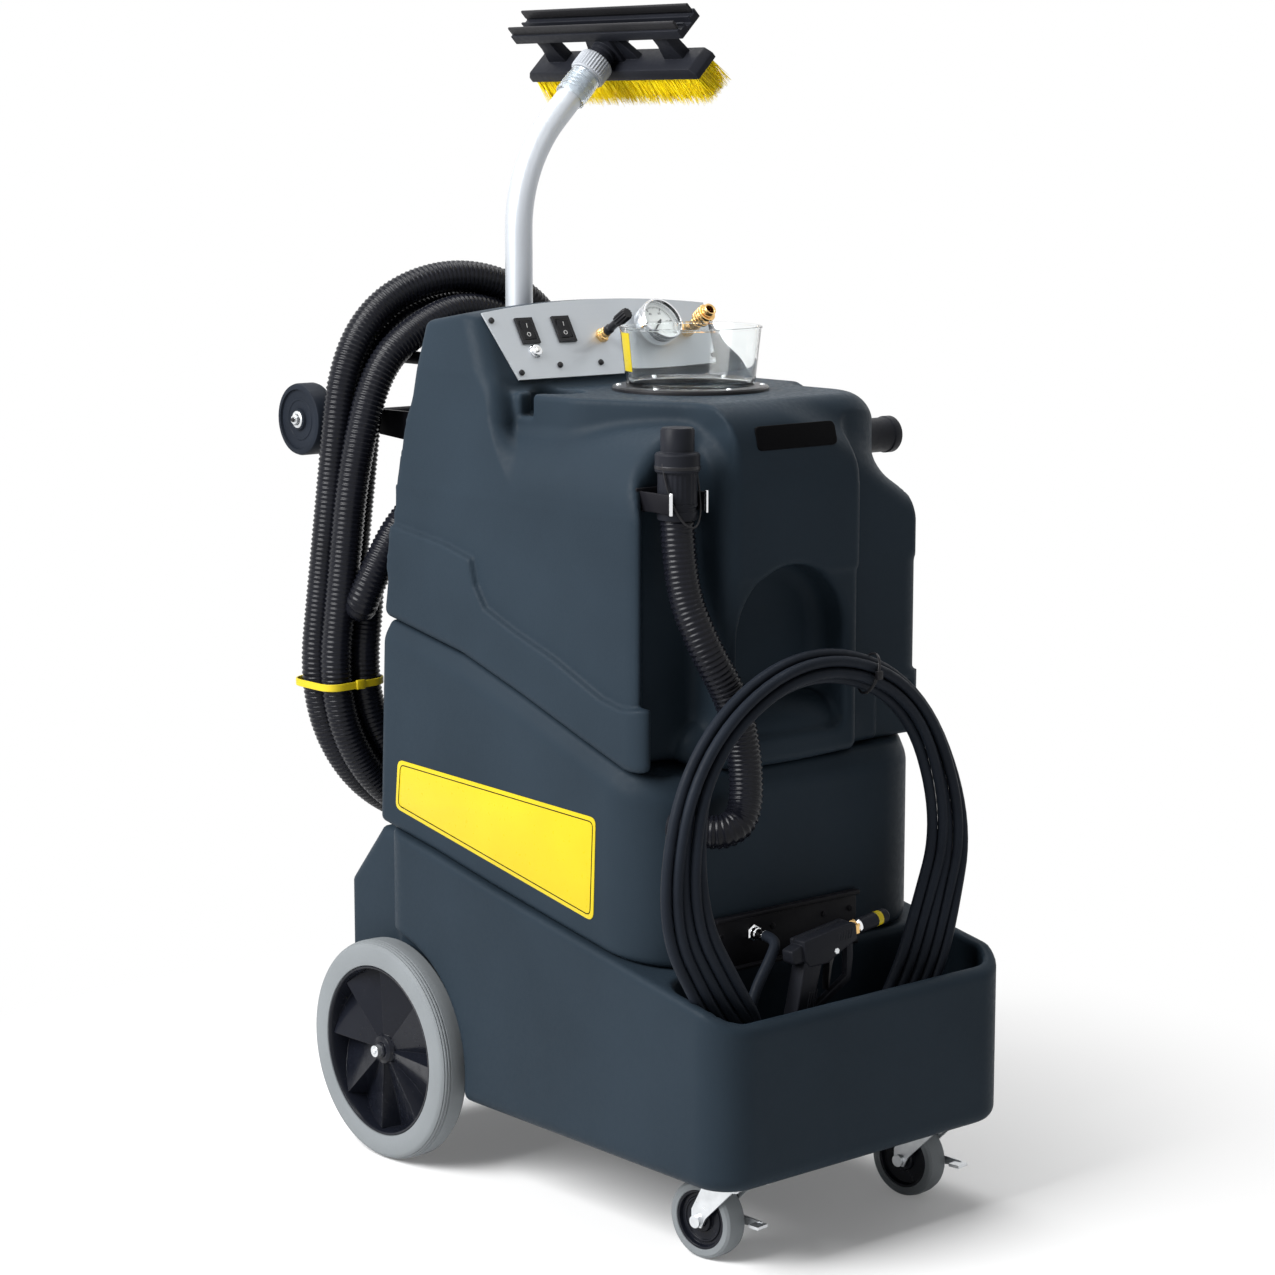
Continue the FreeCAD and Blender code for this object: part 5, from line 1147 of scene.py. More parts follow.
def make_axle_nuts():
    nuts = Kit("wheel_nuts")
    for s in SIDES.values():
        rear = wheel_place(s, REAR_WHEEL_X, 0, REAR_WHEEL_Z)
        nuts.lathe([(0, 13), (11, 13), (11, 17), (9, 18), (0, 18)], "hub", rear, sides=40)
        nuts.lathe([(0, 17), (7, 17), (7, 23), (6, 24.5), (0, 24.5)], "zinc", rear, sides=6)
        nuts.lathe([(0, 24), (3.6, 24), (3.6, 27.4), (2.6, 28.6), (0, 28.6)], "zinc", rear, sides=20)
        load = wheel_place(s, *LOAD_WHEEL)
        nuts.lathe([(0, 15), (12, 15), (12, 17.4), (11, 18), (0, 18)], "zinc", load, sides=40)
        nuts.lathe([(0, 17), (8, 17), (8, 21.5), (7, 23), (0, 23)], "zinc", load, sides=6)
        nuts.lathe([(0, 22), (3.4, 22), (3.4, 25), (2.4, 26), (0, 26)], "control", load, sides=20)
    nuts.made("chassis", "zinc", ["axle_nuts"])


def make_casters():
    across, along = math.sin(CASTER_TURN), math.cos(CASTER_TURN)
    for side, s in SIDES.items():
        centre = (s * CASTER_X - CASTER_TRAIL * across, CASTER_Y + CASTER_TRAIL * along, CASTER_Z)
        place = turned(centre, (along * s, across * s, 0), (0, 0, 1))
        wheel = Kit("caster_wheel_disc_" + side)
        wheel.lathe([(38.2, -15), (39, -16), (46, -16), (49.4, -13.5), (50.8, -7), (50.8, 7), (49.4, 13.5), (46, 16),
                     (39, 16), (38.2, 15)], "tyre", place, sides=72, ring=True)
        wheel.lathe([(5.2, -15.5), (14, -15.5), (15.5, -14), (16.5, -9.5), (33, -9.5), (35, -14.5), (38.1, -14.5),
                     (38.1, 14.5), (35, 14.5), (33, 9.5), (30, 9.5), (29, 11), (27, 11), (26, 9.5), (16.5, 9.5),
                     (15.5, 14), (14, 15.5), (5.2, 15.5)], "hub", place, sides=64, ring=True)
        wheel.made(f"caster_wheel_{side}", "tyre_grey", [f"caster_wheel_{side}"], sharp=30)
        load = Kit("load_wheel_disc_" + side)
        place = wheel_place(s, *LOAD_WHEEL)
        load.lathe([(8.1, -16.5), (46, -16.5), (49.5, -15), (50.8, -11.5), (50.8, 11.5), (49.5, 15), (46, 16.5),
                    (42.5, 16.5), (41.5, 13), (30, 12.2), (29, 13.2), (27, 13.2), (26, 12.2), (16, 12.2), (14.5, 16.0),
                    (8.1, 16.0)], "rubber_hose", place, sides=72, ring=True)
        load.made(f"load_wheel_{side}", "hub_plastic", [f"load_wheel_{side}"], sharp=30)


def make_wand():
    wand = Kit("wand_pipe")
    points = [(0, WAND_Y, WAND_FOOT + 387 * k / 12) for k in range(13)]
    for k in range(1, 25):
        a = HALF_TURN * k / 24
        points.append((WAND_BEND * (1 - math.cos(a)), WAND_Y, WAND_KNEE + WAND_BEND * math.sin(a)))
    points += [tuple(along_wand(d)) for d in (30, 60, 96)]
    wand.sweep(points, 19.0, "wand", sides=40, inner=17.4)
    wand.made("wand", "wand_aluminium", ["wand_tube"])
    cuff = Kit("wand_sleeve")
    place = turned(along_wand(0), WAND_AXIS, (0, 1, 0))
    cuff.lathe([(19.1, 40), (21.5, 40), (22.5, 41), (22.5, 80), (19.1, 80)], "sleeve", place, ring=True)
    cuff.lathe([(20.2, 81.5), (23.4, 81.5), (24.0, 84.5), (20.2, 84.5)], "frost", place, ring=True)
    cuff.lathe([(19.1, 84.5), (25.4, 84.5), (26, 86), (26, 108), (25, 110), (19.1, 110)], "frost", place, sides=160,
               ring=True, lobes=36, lobe_depth=1.3)
    for z in (50, 56, 62, 68):
        cuff.lathe([(22.0, z), (23.0, z + 1.2), (22.0, z + 2.4)], "sleeve", place, ring=True)
    cuff.made("wand", "clear_plastic", ["wand_cuff"])


def make_head(sizes):
    flat = HEAD @ Matrix.Rotation(math.radians(90), 4, "X")
    head = Kit("cleaning_head")
    head.prism([(-20, 19), (24, 19), (24, 34), (18.5, 34), (18.5, 30), (10, 30), (10, 34), (7, 34), (7, 24), (-3, 24),
                (-3, 34), (-6, 34), (-6, 30), (-14.5, 30), (-14.5, 34), (-20, 34)], -181, 181, "head_black", flat,
               bevel=0.9, segments=2)
    end = HEAD @ Matrix(((0, 0, 1, 0), (1, 0, 0, 0), (0, 1, 0, 0), (0, 0, 0, 1)))
    head.prism([(-172, -21), (172, -21), (181, -31), (181, -40), (-181, -40), (-181, -31)], -37, 7, "head_black",
               end, bevel=1.6)
    for y in (-126, 126):
        head.prism([(y - 20, -22), (y + 20, -22), (y + 14, 4), (y + 15, 20), (y - 15, 20), (y - 14, 4)], -16, 2,
                   "head_black", end, bevel=1.5)
    for y in (-52, 52):
        inner = y * 0.42
        head.prism([(y, -22), (inner, -22), (inner, 20), (y * 0.62, 20)], -14, -4, "head_black", end, bevel=1.0)
    head.box((-20, -24, -23), (4, 24, 21), "head_black", HEAD, bevel=2)
    neck = [(15.9, -48), (17.5, -48), (18.9, -46.5), (18.9, -42), (17.4, -41), (17.4, -37), (18.9, -36), (18.9, -32),
            (17.4, -31), (17.4, -27), (18.9, -26), (18.9, 14), (17.5, 16), (15.9, 16)]
    head.lathe(neck, "head_black", HEAD @ Matrix.Rotation(math.radians(90), 4, "Y"), sides=56, ring=True)
    head.made("head", "head_black", ["head_frame"])
    blades = Kit("squeegee_pair")
    for x in (-17, 17):
        blades.prism([(x, 33.9), (x + 4, 33.9), (x + 4, 45.5), (x + 2.9, 47), (x + 1.1, 47), (x, 45.5)], -179, 179,
                     "blade", flat, bevel=0.3)
    blades.made("head", "blade_rubber", ["squeegee_blades"])
    core = Kit("brush_core")
    core.prism([(-31, -39), (1, -39), (3, -68), (-33, -68)], -169, 169, "bristle", flat, bevel=1.5)
    core.made("head", "bristle_yellow")
    seed = bpy.data.meshes.new("seed")
    bristles = grown("brush_filaments", seed, brush_tree(), {
        "Length X": 0.342, "Length Y": 0.034, "Rows X": 42, "Rows Y": 5, "Filaments": sizes.filaments,
        "Filament Length": 0.0448, "Filament Radius": 0.0008, "Tuft Radius": 0.0034, "Flare": sizes.flare,
        "Seed": 7, "Material": FINISHES["bristle"]})
    down = Matrix(((0, 1, 0, 0), (1, 0, 0, 0), (0, 0, -1, 0), (0, 0, 0, 1)))
    bristles.transform(TO_FRAME @ HEAD @ Matrix.Translation((-15, 0, -39.8)) @ down @ IN_MM)
    settle("brush_filaments", bristles, "head", ["brush_bristles"])


def dial_place(u, v, out):
    return PANEL @ Matrix.Translation((u, v, out))


def make_controls():
    for name, x in (("vacuum", -131), ("pump", -69)):
        for sign, up, out, tilt in (("I", 6.0, 4.28, 11.6), ("O", -6.0, 2.30, 7.0)):
            place = PANEL @ Matrix.Translation((x, 70 + up, out)) @ Matrix.Rotation(math.radians(tilt), 4, "X")
            lettering(f"sign_{sign}_{name}", sign, 8.5, place, "rocker_" + name, "print_white")
    screws = bpy.data.meshes.new("screw_spots")
    spots = [(-165, 10), (-97, 18), (-27, 18), (172, 11), (-183, 88), (183, 88)]
    screws.from_pydata([(TO_FRAME @ PANEL) @ Vector((x, up, 1.1)) for x, up in spots], [], [])
    tilt = math.pi / 2 - PANEL_LEAN
    heads = grown("panel_screw_heads", screws, screw_tree(), {
        "Radius": 0.004, "Height": 0.0022, "Tilt": (tilt, 0.0, 0.0), "Material": FINISHES["control"]})
    settle("panel_screw_heads", heads, "chassis", ["panel_screws"])
    breaker = Kit("breaker_ring")
    breaker.lathe([(7.9, 0.1), (9.2, 0.1), (9.2, 1.4), (8.4, 2.0), (8.4, 3.4), (7.4, 5.0), (3.6, 5.0)],
                  "chrome", dial_place(-129, 40, 0), sides=40, ring=True)
    breaker.made("chassis", "chrome")
    knob_place = dial_place(*KNOB_SPOT, 0)
    regulator = Kit("regulator_brass")
    regulator.lathe([(0, 0), (10, 0), (10, 5), (0, 5)], "brass", knob_place, sides=6)
    regulator.lathe([(0, 4.5), (8.2, 4.5), (8.2, 7), (6.5, 8), (6.5, 9.4), (7.2, 10), (7.2, 12.4), (6.5, 13), (6.5, 14),
                     (0, 14)], "brass", knob_place, sides=32)
    regulator.made("chassis", "brass", ["regulator_body"])
    knob = Kit("regulator_handle")
    knob.lathe([(0, 14.3), (6.0, 14.3), (6.6, 15.5), (6.6, 22), (5.4, 23.5), (5.4, 38), (6.4, 40), (0, 40)],
               "control", knob_place, sides=32)
    knob.lathe([(0, 40), (7.6, 40), (8.5, 41.2), (8.5, 62.6), (7.4, 64.3), (0, 64.3)], "control", knob_place,
               sides=96, lobes=12, lobe_depth=1.5)
    knob.made("regulator", "control_black", ["regulator_knob"])
    make_gauge()
    lean = dial_place(*COUPLING_SPOT, 16) @ Matrix.Rotation(math.radians(-5), 4, "X") @ Matrix.Translation((0, 0, -16))
    coupling = Kit("coupling_brass")
    coupling.lathe([(0, 0), (12, 0), (12, 7), (10.5, 8.5), (0, 8.5)], "brass", dial_place(*COUPLING_SPOT, 0), sides=6)
    coupling.lathe([(0, 8), (8.5, 8), (10.4, 12), (10.5, 16), (10, 20), (9, 22), (0, 22)], "brass",
                   dial_place(*COUPLING_SPOT, 0), sides=36)
    coupling.lathe([(6, 38), (6, 63), (7, 64), (8.4, 64), (9, 63), (9, 58), (8.1, 57.2), (9, 56.4), (9, 32), (8.0, 31),
                    (9, 30), (9, 14), (0, 14), (0, 38)], "brass", lean, sides=36)
    coupling.made("chassis", "brass", ["coupling_body"])
    sleeve = Kit("coupling_collar")
    sleeve.lathe([(9.1, 36), (12, 36), (13, 37), (13, 40), (12, 40.6), (12, 42), (13, 42.6), (13, 45), (12, 45.6),
                  (12, 47), (13, 47.6), (13, 50), (12, 50.6), (12, 52), (13, 52.6), (13, 55), (12, 56), (9.1, 56)],
                 "brass", lean, sides=48, ring=True)
    sleeve.made("coupling", "brass", ["coupling_sleeve"])


def make_gauge():
    place = dial_place(*GAUGE_SPOT, 0)
    case = Kit("gauge_case_bezel")
    case.lathe([(0, 8), (29, 8), (31.8, 9.2), (32.4, 12), (32.4, 24), (31.4, 25.6), (33, 27), (33, 32), (31.8, 34),
                (29.6, 34), (28.6, 31), (28.6, 20), (1.6, 20), (1.6, 22), (0, 22)], "chrome", place, sides=80)
    case.lathe([(0, -1), (7, -1), (7, 9), (0, 9)], "brass", place, sides=6)
    case.lathe([(1.7, 20.1), (28.5, 20.1), (28.5, 21.1), (1.7, 21.1)], "dial", place, sides=64, ring=True)
    case.made("chassis", "chrome", ["gauge_case"])
    lens = Kit("gauge_glass")
    lens.lathe([(0, 29.6), (28.4, 28.6), (29.4, 29.2), (29.4, 30.4), (24, 31.8), (12, 33.2), (0, 33.6)], "clear", place,
               sides=64)
    lens.made("chassis", "clear_plastic", ["gauge_lens"])
    marks = Kit("gauge_ticks")
    for k in range(51):
        angle = math.radians(DIAL_START - DIAL_SWEEP / 50 * k)
        long_mark = k % 10 == 0
        inner = 20.5 if long_mark else (22.2 if k % 5 == 0 else 23.2)
        wide = 0.5 if long_mark else 0.25
        spot = place @ Matrix.Rotation(angle, 4, "Z")
        marks.box((inner, -wide, 21.05), (25.6, wide, 21.3), "ink", spot, bevel=0)
    marks.made("chassis", "dial_white")
    for k, text in enumerate(("0", "20", "40", "60", "80", "100")):
        angle = math.radians(DIAL_START - DIAL_SWEEP / 5 * k)
        spot = dial_place(GAUGE_SPOT[0] + 16.6 * math.cos(angle), GAUGE_SPOT[1] + 16.6 * math.sin(angle), 21.15)
        lettering(f"gauge_number_{text}", text, 4.6, spot, "chassis", "ink", 0.08)


def make_lid():
    place = Matrix.Translation((LID_X, LID_Y, 0))
    ring = Kit("lid_seat_ring")
    ring.lathe([(78.1, 1066), (103, 1066), (103, 1069.5), (101.5, 1071.6), (98, 1072), (82, 1072), (79, 1071.4),
                (78.1, 1070)], "control", place, sides=96, ring=True)
    for k in range(6):
        turn = math.radians(60 * k + 20)
        x, y = LID_X + 94 * math.cos(turn), LID_Y + 94 * math.sin(turn)
        ring.lathe([(0, 1071.8), (3.6, 1071.8), (3.2, 1073.4), (1.8, 1074), (0, 1074)], "zinc",
                   Matrix.Translation((x, y, 0)), sides=20)
    ring.made("chassis", "control_black", ["lid_flange_ring"])
    cup = Kit("lid_cup")
    cup.lathe([(0, 1054.4), (74, 1054.4), (77, 1055.5), (77.5, 1058), (77.5, 1072.3), (83, 1072.3), (84.4, 1073.5),
               (85.4, 1080), (92.6, 1146), (94, 1147), (94, 1148.8), (93.2, 1149.3), (91.0, 1149.3), (90.2, 1147.5),
               (82.2, 1081), (80.5, 1077.5), (77, 1076), (74.6, 1073), (74.4, 1059.5), (72, 1057.6), (0, 1057.6)],
              "clear", place, sides=96)
    cup.lathe([(50, 1057.4), (52, 1060.2), (54, 1057.4)], "clear", place, sides=96, ring=True)
    cup.made("lid", "clear_plastic", ["clear_lid"])
    tag = Kit("lid_tag")
    part = bmesh.new()
    rows = []
    for k in range(9):
        turn = math.radians(153 + 2.0 * k)
        row = []
        for height, radius in ((1092, 86.9), (1142, 92.4)):
            for proud in (0.1, 0.7):
                r = radius + proud
                row.append(part.verts.new((r * math.cos(turn), r * math.sin(turn), height)))
        rows.append(row)
    for a, b in zip(rows, rows[1:]):
        for i, j in ((0, 1), (1, 3), (3, 2), (2, 0)):
            part.faces.new([a[i], a[j], b[j], b[i]])
    part.faces.new([rows[0][i] for i in (0, 1, 3, 2)])
    part.faces.new([rows[-1][i] for i in (0, 1, 3, 2)])
    tag.put(part, "label", place)
    tag.made("lid", "label_yellow")
    grille = Kit("well_grille")
    grille.lathe([(73, 1040), (78.8, 1040), (78.8, 1048), (73, 1048)], "hub", place, ring=True)
    grille.lathe([(0, 1041), (18, 1041), (18, 1046), (0, 1046)], "hub", place, sides=48)
    grille.lathe([(44, 1042), (47, 1042), (47, 1046), (44, 1046)], "hub", place, sides=64, ring=True)
    grille.made("chassis", "hub_plastic")
    bar = Kit("bar")
    bar.box((16, -2.2, 1041.5), (75, 2.2, 1045.5), "hub", bevel=0.6, segments=1)
    bars = grown("well_grille_bars", kit_mesh(bar), ring_tree(), {"Count": 24, "Material": FINISHES["hub"]})
    bars.transform(TO_FRAME @ place @ IN_MM)
    settle("well_grille_bars", bars, "chassis")


def make_port_and_fittings():
    port = Kit("inlet_spout")
    port.lathe([(16, -18), (30, -18), (30, 4.5), (28.5, 6), (24, 7), (23, 9), (23, 54), (24.5, 56),
                (24.5, 66.5), (23.5, 68), (20, 68), (19.2, 67), (19.2, 5), (16, 5)], "head_black",
               turned((200, -435, 1000), (1, 0, 0), (0, 0, 1)), sides=64, ring=True)
    port.made("chassis", "head_black", ["inlet_port"])
    rim = Kit("filler_rim")
    rim.lathe([(25.2, -3), (31, -3), (31, 0.6), (29.5, 2), (26.5, 2), (25.2, 0.6)], "head_black",
              turned((150, 19.8, 690), (0, 1, 0.045), (1, 0, 0)), sides=56, ring=True)
    rim.made("chassis", "head_black")
    bracket = Kit("tray_bracket")
    bracket.box((-150, -551, 352), (100, -546, 424), "frame_black", bevel=1.5)
    bracket.box((-150, -558, 418), (100, -549, 424), "frame_black", bevel=1.2)
    bracket.box((-150, -556, 352), (100, -549, 357), "frame_black", bevel=1.2)
    for x in (-138, -50, 40, 88):
        bracket.lathe([(0, 0), (4, 0), (3.4, 2), (0, 2.6)], "frame_black", turned((x, -551, 400), (0, -1, 0)), sides=20)
    bracket.made("chassis", "frame_black")
    outlets = Kit("outlet_fittings")
    spout = turned(SPOUT, (-16, 23, 3.5))
    outlets.lathe([(10, 0), (17, 0), (17, 14), (18.5, 16), (18.5, 26), (13.5, 26), (13.5, 44), (10, 44)], "head_black",
                  spout, sides=40, ring=True)
    nipple = turned(OUTLET, (0, -1, 0), (0, 0, 1))
    outlets.lathe([(0, -4), (11, -4), (11, 10), (9, 11.5), (0, 11.5)], "chrome", nipple, sides=6)
    outlets.lathe([(3, 11), (8, 11), (8, 17), (6.8, 18), (6.8, 30), (3, 30)], "chrome", nipple, sides=32, ring=True)
    outlets.made("chassis", "chrome", ["tank_outlets"])


def make_plates():
    label = Kit("side_plate")
    outline = rounded_corners([(-19.5, 560), (-438, 549), (-432, 414), (-13, 492)], 12, 6)
    outline = [(max(min(y, -13.6), -436.9), max(min(z, 560), 414)) for y, z in outline]
    side = Matrix(((0, 0, -1, 0), (1, 0, 0, 0), (0, 1, 0, 0), (0, 0, 0, 1)))
    label.prism(outline, 247.2, 248.6, "label", side, bevel=0.5, segments=2)
    border = rounded_corners([(-26, 553.6), (-432, 543), (-426, 421.2), (-19.6, 496.9)], 8, 6)
    label.sweep([(-248.5, y, z) for y, z in border], 0.75, "badge", 6, True)
    label.made("chassis", "label_yellow", ["side_label"])
    badge = Kit("front_plate")
    outline = rounded_corners([(-68.5, 15.5), (68.5, 15.5), (68.5, -15.5), (-68.5, -15.5)], 9, 6)
    lean = math.radians(15.5)
    front = turned((-11.5, -547.4, 1023.5), (0, -math.cos(lean), math.sin(lean)), (1, 0, 0))
    badge.prism(outline, -4, 1.3, "badge", front, bevel=1.2, segments=3)
    badge.made("chassis", "badge_black", ["badge_plate"])


def make_gun(hose, line, sizes):
    side = GUN @ Matrix.Rotation(math.radians(90), 4, "X")
    gun = Kit("spray_gun")
    gun.prism([(-46, 40), (40, 41), (46, 37), (46, 16), (18, 9), (-8, 0), (-40, 4), (-46, 14)], -6.4, 14,
              "head_black", side, bevel=2.5, segments=3)
    gun.prism([(-46, 40), (40, 41), (46, 37), (46, 24), (-6, 24), (-22, 0), (-40, 4), (-46, 14)], -14, -6.2,
              "head_black", side, bevel=2.5, segments=3)
    gun.prism([(-64, 31), (-44, 35), (-44, 12), (-60, 12), (-64, 16)], -10, 10, "head_black", side, bevel=3, segments=3)
    gun.prism([(-45, 12), (-15, 5), (-30, -30), (-46, -78), (-50, -81), (-72, -73), (-74, -68), (-60, -30)], -12, 12,
              "head_black", side, bevel=5, segments=4)
    gun.prism([(36, 20), (46, 20), (44, -8), (37, -37), (0, -52), (-26, -60), (-31, -54), (-4, -43), (30, -29)], -5, 5,
              "head_black", side, bevel=1.5)
    for k in range(6):
        x = 14 + 4.6 * k
        for y in (-14.6, 13.8):
            gun.prism([(x, 34), (x + 2, 34), (x - 2, 22), (x - 4, 22)], y, y + 0.8, "head_black", side, bevel=0.3)
    for k in range(4):
        x = -30 - 4.2 * k
        for y in (-12.6, 11.8):
            gun.prism([(x, -28 - 0.2 * k), (x + 1.8, -28), (x - 10.5, -64), (x - 12.3, -64)], y, y + 0.8, "head_black",
                      side, bevel=0.3)
    gun.lathe([(0, 0), (4.2, 0), (3.8, 1.4), (0, 1.6)], "zinc", GUN @ turned((8, -13.6, 12), (0, -1, 0)), sides=6)
    gun.lathe([(0, 0), (8.5, 0), (8.5, 12), (7.5, 13.5), (0, 13.5)], "brass",
              GUN @ turned((-60, 0, -76), (-0.336, 0, -0.942)), sides=6)
    gun = gun.made("chassis", "head_black", ["gun_body"])
    lance = Kit("gun_lance")
    place = GUN @ turned((46, 0, 27), (1, 0, 0), (0, 0, 1))
    lance.lathe([(0, 0), (11, 0), (11, 8), (9.5, 9), (0, 9)], "brass", place, sides=6)
    lance.lathe([(0, 8), (8, 8), (8, 10), (9.4, 11), (9.8, 13), (9.4, 15), (7, 16.5), (7, 18), (0, 18)], "chrome",
                place)
    lance.lathe([(0, 30), (0, 17), (8.5, 17), (9.5, 18.5), (9.5, 44), (9.2, 44.4), (9.2, 52.6), (9.5, 53), (9.5, 62),
                 (8, 64), (4.5, 64), (3.5, 63), (3.5, 30), (0, 30)], "head_black", place, sides=48)
    lance.lathe([(9.0, 44.4), (9.55, 44.4), (9.55, 52.6), (9.0, 52.6)], "label", place, ring=True)
    lance = lance.made("chassis", "brass", ["gun_nozzle"])
    trigger = Kit("gun_trigger_lever")
    trigger.prism([(2, 17), (13, 18), (14, 8), (10, 0), (5, -10), (1, -24), (-3, -38), (-4.5, -39), (-3, -26),
                   (1, -8), (2, 4)], -5.9, 5.9, "control", side, bevel=1.4, segments=2)
    trigger.lathe([(0, -13.5), (1.9, -13.5), (1.9, 13.5), (0, 13.5)], "control",
                  GUN @ turned((8, 0, 12), (0, 1, 0)), sides=20)
    trigger = trigger.made("trigger", "control_black", ["gun_trigger"])


def finish_kept_nodes():
    for row in frame["record"]["subparts"]:
        holder = NODES[row["node"]]
        material = FINISHES[SLOT_FINISH[row["material_slot"]]]
        for item in holder.material_slots:
            item.material = material


def make_stage(sizes):
    scene = bpy.context.scene
    camera = bpy.data.objects.new("camera", bpy.data.cameras.new("camera"))
    scene.collection.objects.link(camera)
    camera.data.lens = CAMERA_LENS
    camera.data.sensor_width = 36.0
    camera.location = at(*CAMERA_SPOT)
    level = math.cos(CAMERA_PITCH)
    look = Vector((math.sin(CAMERA_YAW) * level, math.cos(CAMERA_YAW) * level, -math.sin(CAMERA_PITCH)))
    camera.rotation_mode = "QUATERNION"
    camera.rotation_quaternion = look.to_track_quat("-Z", "Y")
    scene.camera = camera
    scene.view_settings.view_transform = "Standard"
    floor_mesh = bpy.data.meshes.new("floor")
    corners = [(x * FLOOR_HALF, y * FLOOR_HALF, 0) for x, y in ((-1, -1), (1, -1), (1, 1), (-1, 1))]
    floor_mesh.from_pydata(corners, [], [(0, 1, 2, 3)])
    floor = bpy.data.objects.new("floor", floor_mesh)
    scene.collection.objects.link(floor)
    material = bpy.data.materials.new("pale_floor")
    material.use_nodes = True
    tree = material.node_tree
    shader = tree.nodes["Principled BSDF"]
    shader.inputs["Base Color"].default_value = (*sizes.floor_colour, 1)
    shader.inputs["Roughness"].default_value = 0.9
    shader.inputs["Specular IOR Level"].default_value = 0.1
    glow = node(tree, "ShaderNodeEmission", {}, {"Color": (1, 1, 1, 1)})[0]
    place = node(tree, "ShaderNodeTexCoord")["Object"]
    far = node(tree, "ShaderNodeVectorMath", {0: place}, operation="LENGTH")["Value"]
    fade = node(tree, "ShaderNodeMapRange", {"Value": far}, {"From Min": 0.42, "From Max": 1.2, "To Min": 0.15},
                interpolation_type="SMOOTHSTEP")["Result"]
    both = sum_of(tree, "MULTIPLY", fade, seen_directly(tree))
    blend = node(tree, "ShaderNodeMixShader", {0: both, 1: shader.outputs[0], 2: glow})[0]
    tree.links.new(blend, tree.nodes["Material Output"].inputs["Surface"])
    floor_mesh.materials.append(material)
    world = bpy.data.worlds.new("studio")
    scene.world = world
    world.use_nodes = True
    tree = world.node_tree
    back = tree.nodes["Background"]
    back.inputs["Color"].default_value = (1, 1, 1, 1)
    back.inputs["Strength"].default_value = sizes.fill
    white = node(tree, "ShaderNodeBackground", {}, {"Color": (1, 1, 1, 1)})[0]
    blend = node(tree, "ShaderNodeMixShader", {0: seen_directly(tree), 1: back.outputs[0], 2: white})[0]
    tree.links.new(blend, tree.nodes["World Output"].inputs["Surface"])
    centre = Vector((0, -0.1, 0.7))
    for name, spot, size, power in (("soft_left", (-3.3, 0.5, 3.0), 2.6, sizes.key),
                                    ("soft_front", (0.2, -4.2, 3.0), 2.0, sizes.front),
                                    ("soft_top", (0.6, 0.6, 4.2), 2.6, sizes.top),
                                    ("soft_right", (3.6, 0.6, 1.8), 1.6, sizes.front * 0.5)):
        lamp = bpy.data.lights.new(name, "AREA")
        lamp.shape = "SQUARE"
        lamp.size = size
        lamp.energy = power
        holder = bpy.data.objects.new(name, lamp)
        holder.location = spot
        holder.rotation_mode = "QUATERNION"
        holder.rotation_quaternion = (centre - Vector(spot)).to_track_quat("-Z", "Y")
        scene.collection.objects.link(holder)


def seen_directly(tree):
    """1 for camera, mirror and glass rays, 0 for the light that falls on the machine."""
    path = node(tree, "ShaderNodeLightPath")
    either = sum_of(tree, "MAXIMUM", path["Is Camera Ray"], path["Is Glossy Ray"])
    return sum_of(tree, "MAXIMUM", either, path["Is Transmission Ray"])


# ------------------------------------------------------------------ add-on

class ScrubberColours(PropertyGroup):
    body: FloatVectorProperty(name="Body", description="Colour of the moulded tanks", subtype="COLOR", size=3,
                              min=0, max=1, default=(0.017, 0.026, 0.036))
    tyre: FloatVectorProperty(name="Tyres", description="Colour of the wheel treads", subtype="COLOR", size=3,
                              min=0, max=1, default=(0.18, 0.195, 0.205))
    signal: FloatVectorProperty(name="Signal", description="Colour of the plates and the strap", subtype="COLOR",
                                size=3, min=0, max=1, default=(0.50, 0.385, 0.008))


class ScrubberHoses(PropertyGroup):
    diameter: FloatProperty(name="Diameter", description="Outer diameter of the vacuum hose", unit="LENGTH",
                            default=0.046, min=0.03, max=0.06)
    drain_diameter: FloatProperty(name="Drain diameter", description="Outer diameter of the drain hose",
                                  unit="LENGTH", default=0.044, min=0.03, max=0.06)
    rib_pitch: FloatProperty(name="Rib pitch", description="Distance between two ribs", unit="LENGTH",
                             default=0.0066, min=0.004, max=0.02)
    rib_depth: FloatProperty(name="Rib depth", description="Depth of the grooves between ribs", unit="LENGTH",
                             default=0.0022, min=0.0, max=0.005)
    vacuum_length: FloatProperty(name="Vacuum hose", description="Length of the vacuum hose", unit="LENGTH",
                                 default=6.91, min=1, max=15)
    small_diameter: FloatProperty(name="Solution diameter", description="Outer diameter of the solution hose",
                                  unit="LENGTH", default=0.014, min=0.006, max=0.02)
    small_length: FloatProperty(name="Solution hose", description="Length of the solution hose", unit="LENGTH",
                                default=8.03, min=1, max=15)


class ScrubberWheels(PropertyGroup):
    vanes: IntProperty(name="Vanes", description="Number of vanes in each rear hub", default=8, min=3, max=16)


class ScrubberBrush(PropertyGroup):
    filaments: IntProperty(name="Filaments", description="Filaments in each tuft", default=28, min=4, max=80)
    flare: FloatProperty(name="Flare", description="How far the outer tufts lean out", subtype="ANGLE",
                         default=0.14, min=0.0, max=0.5)


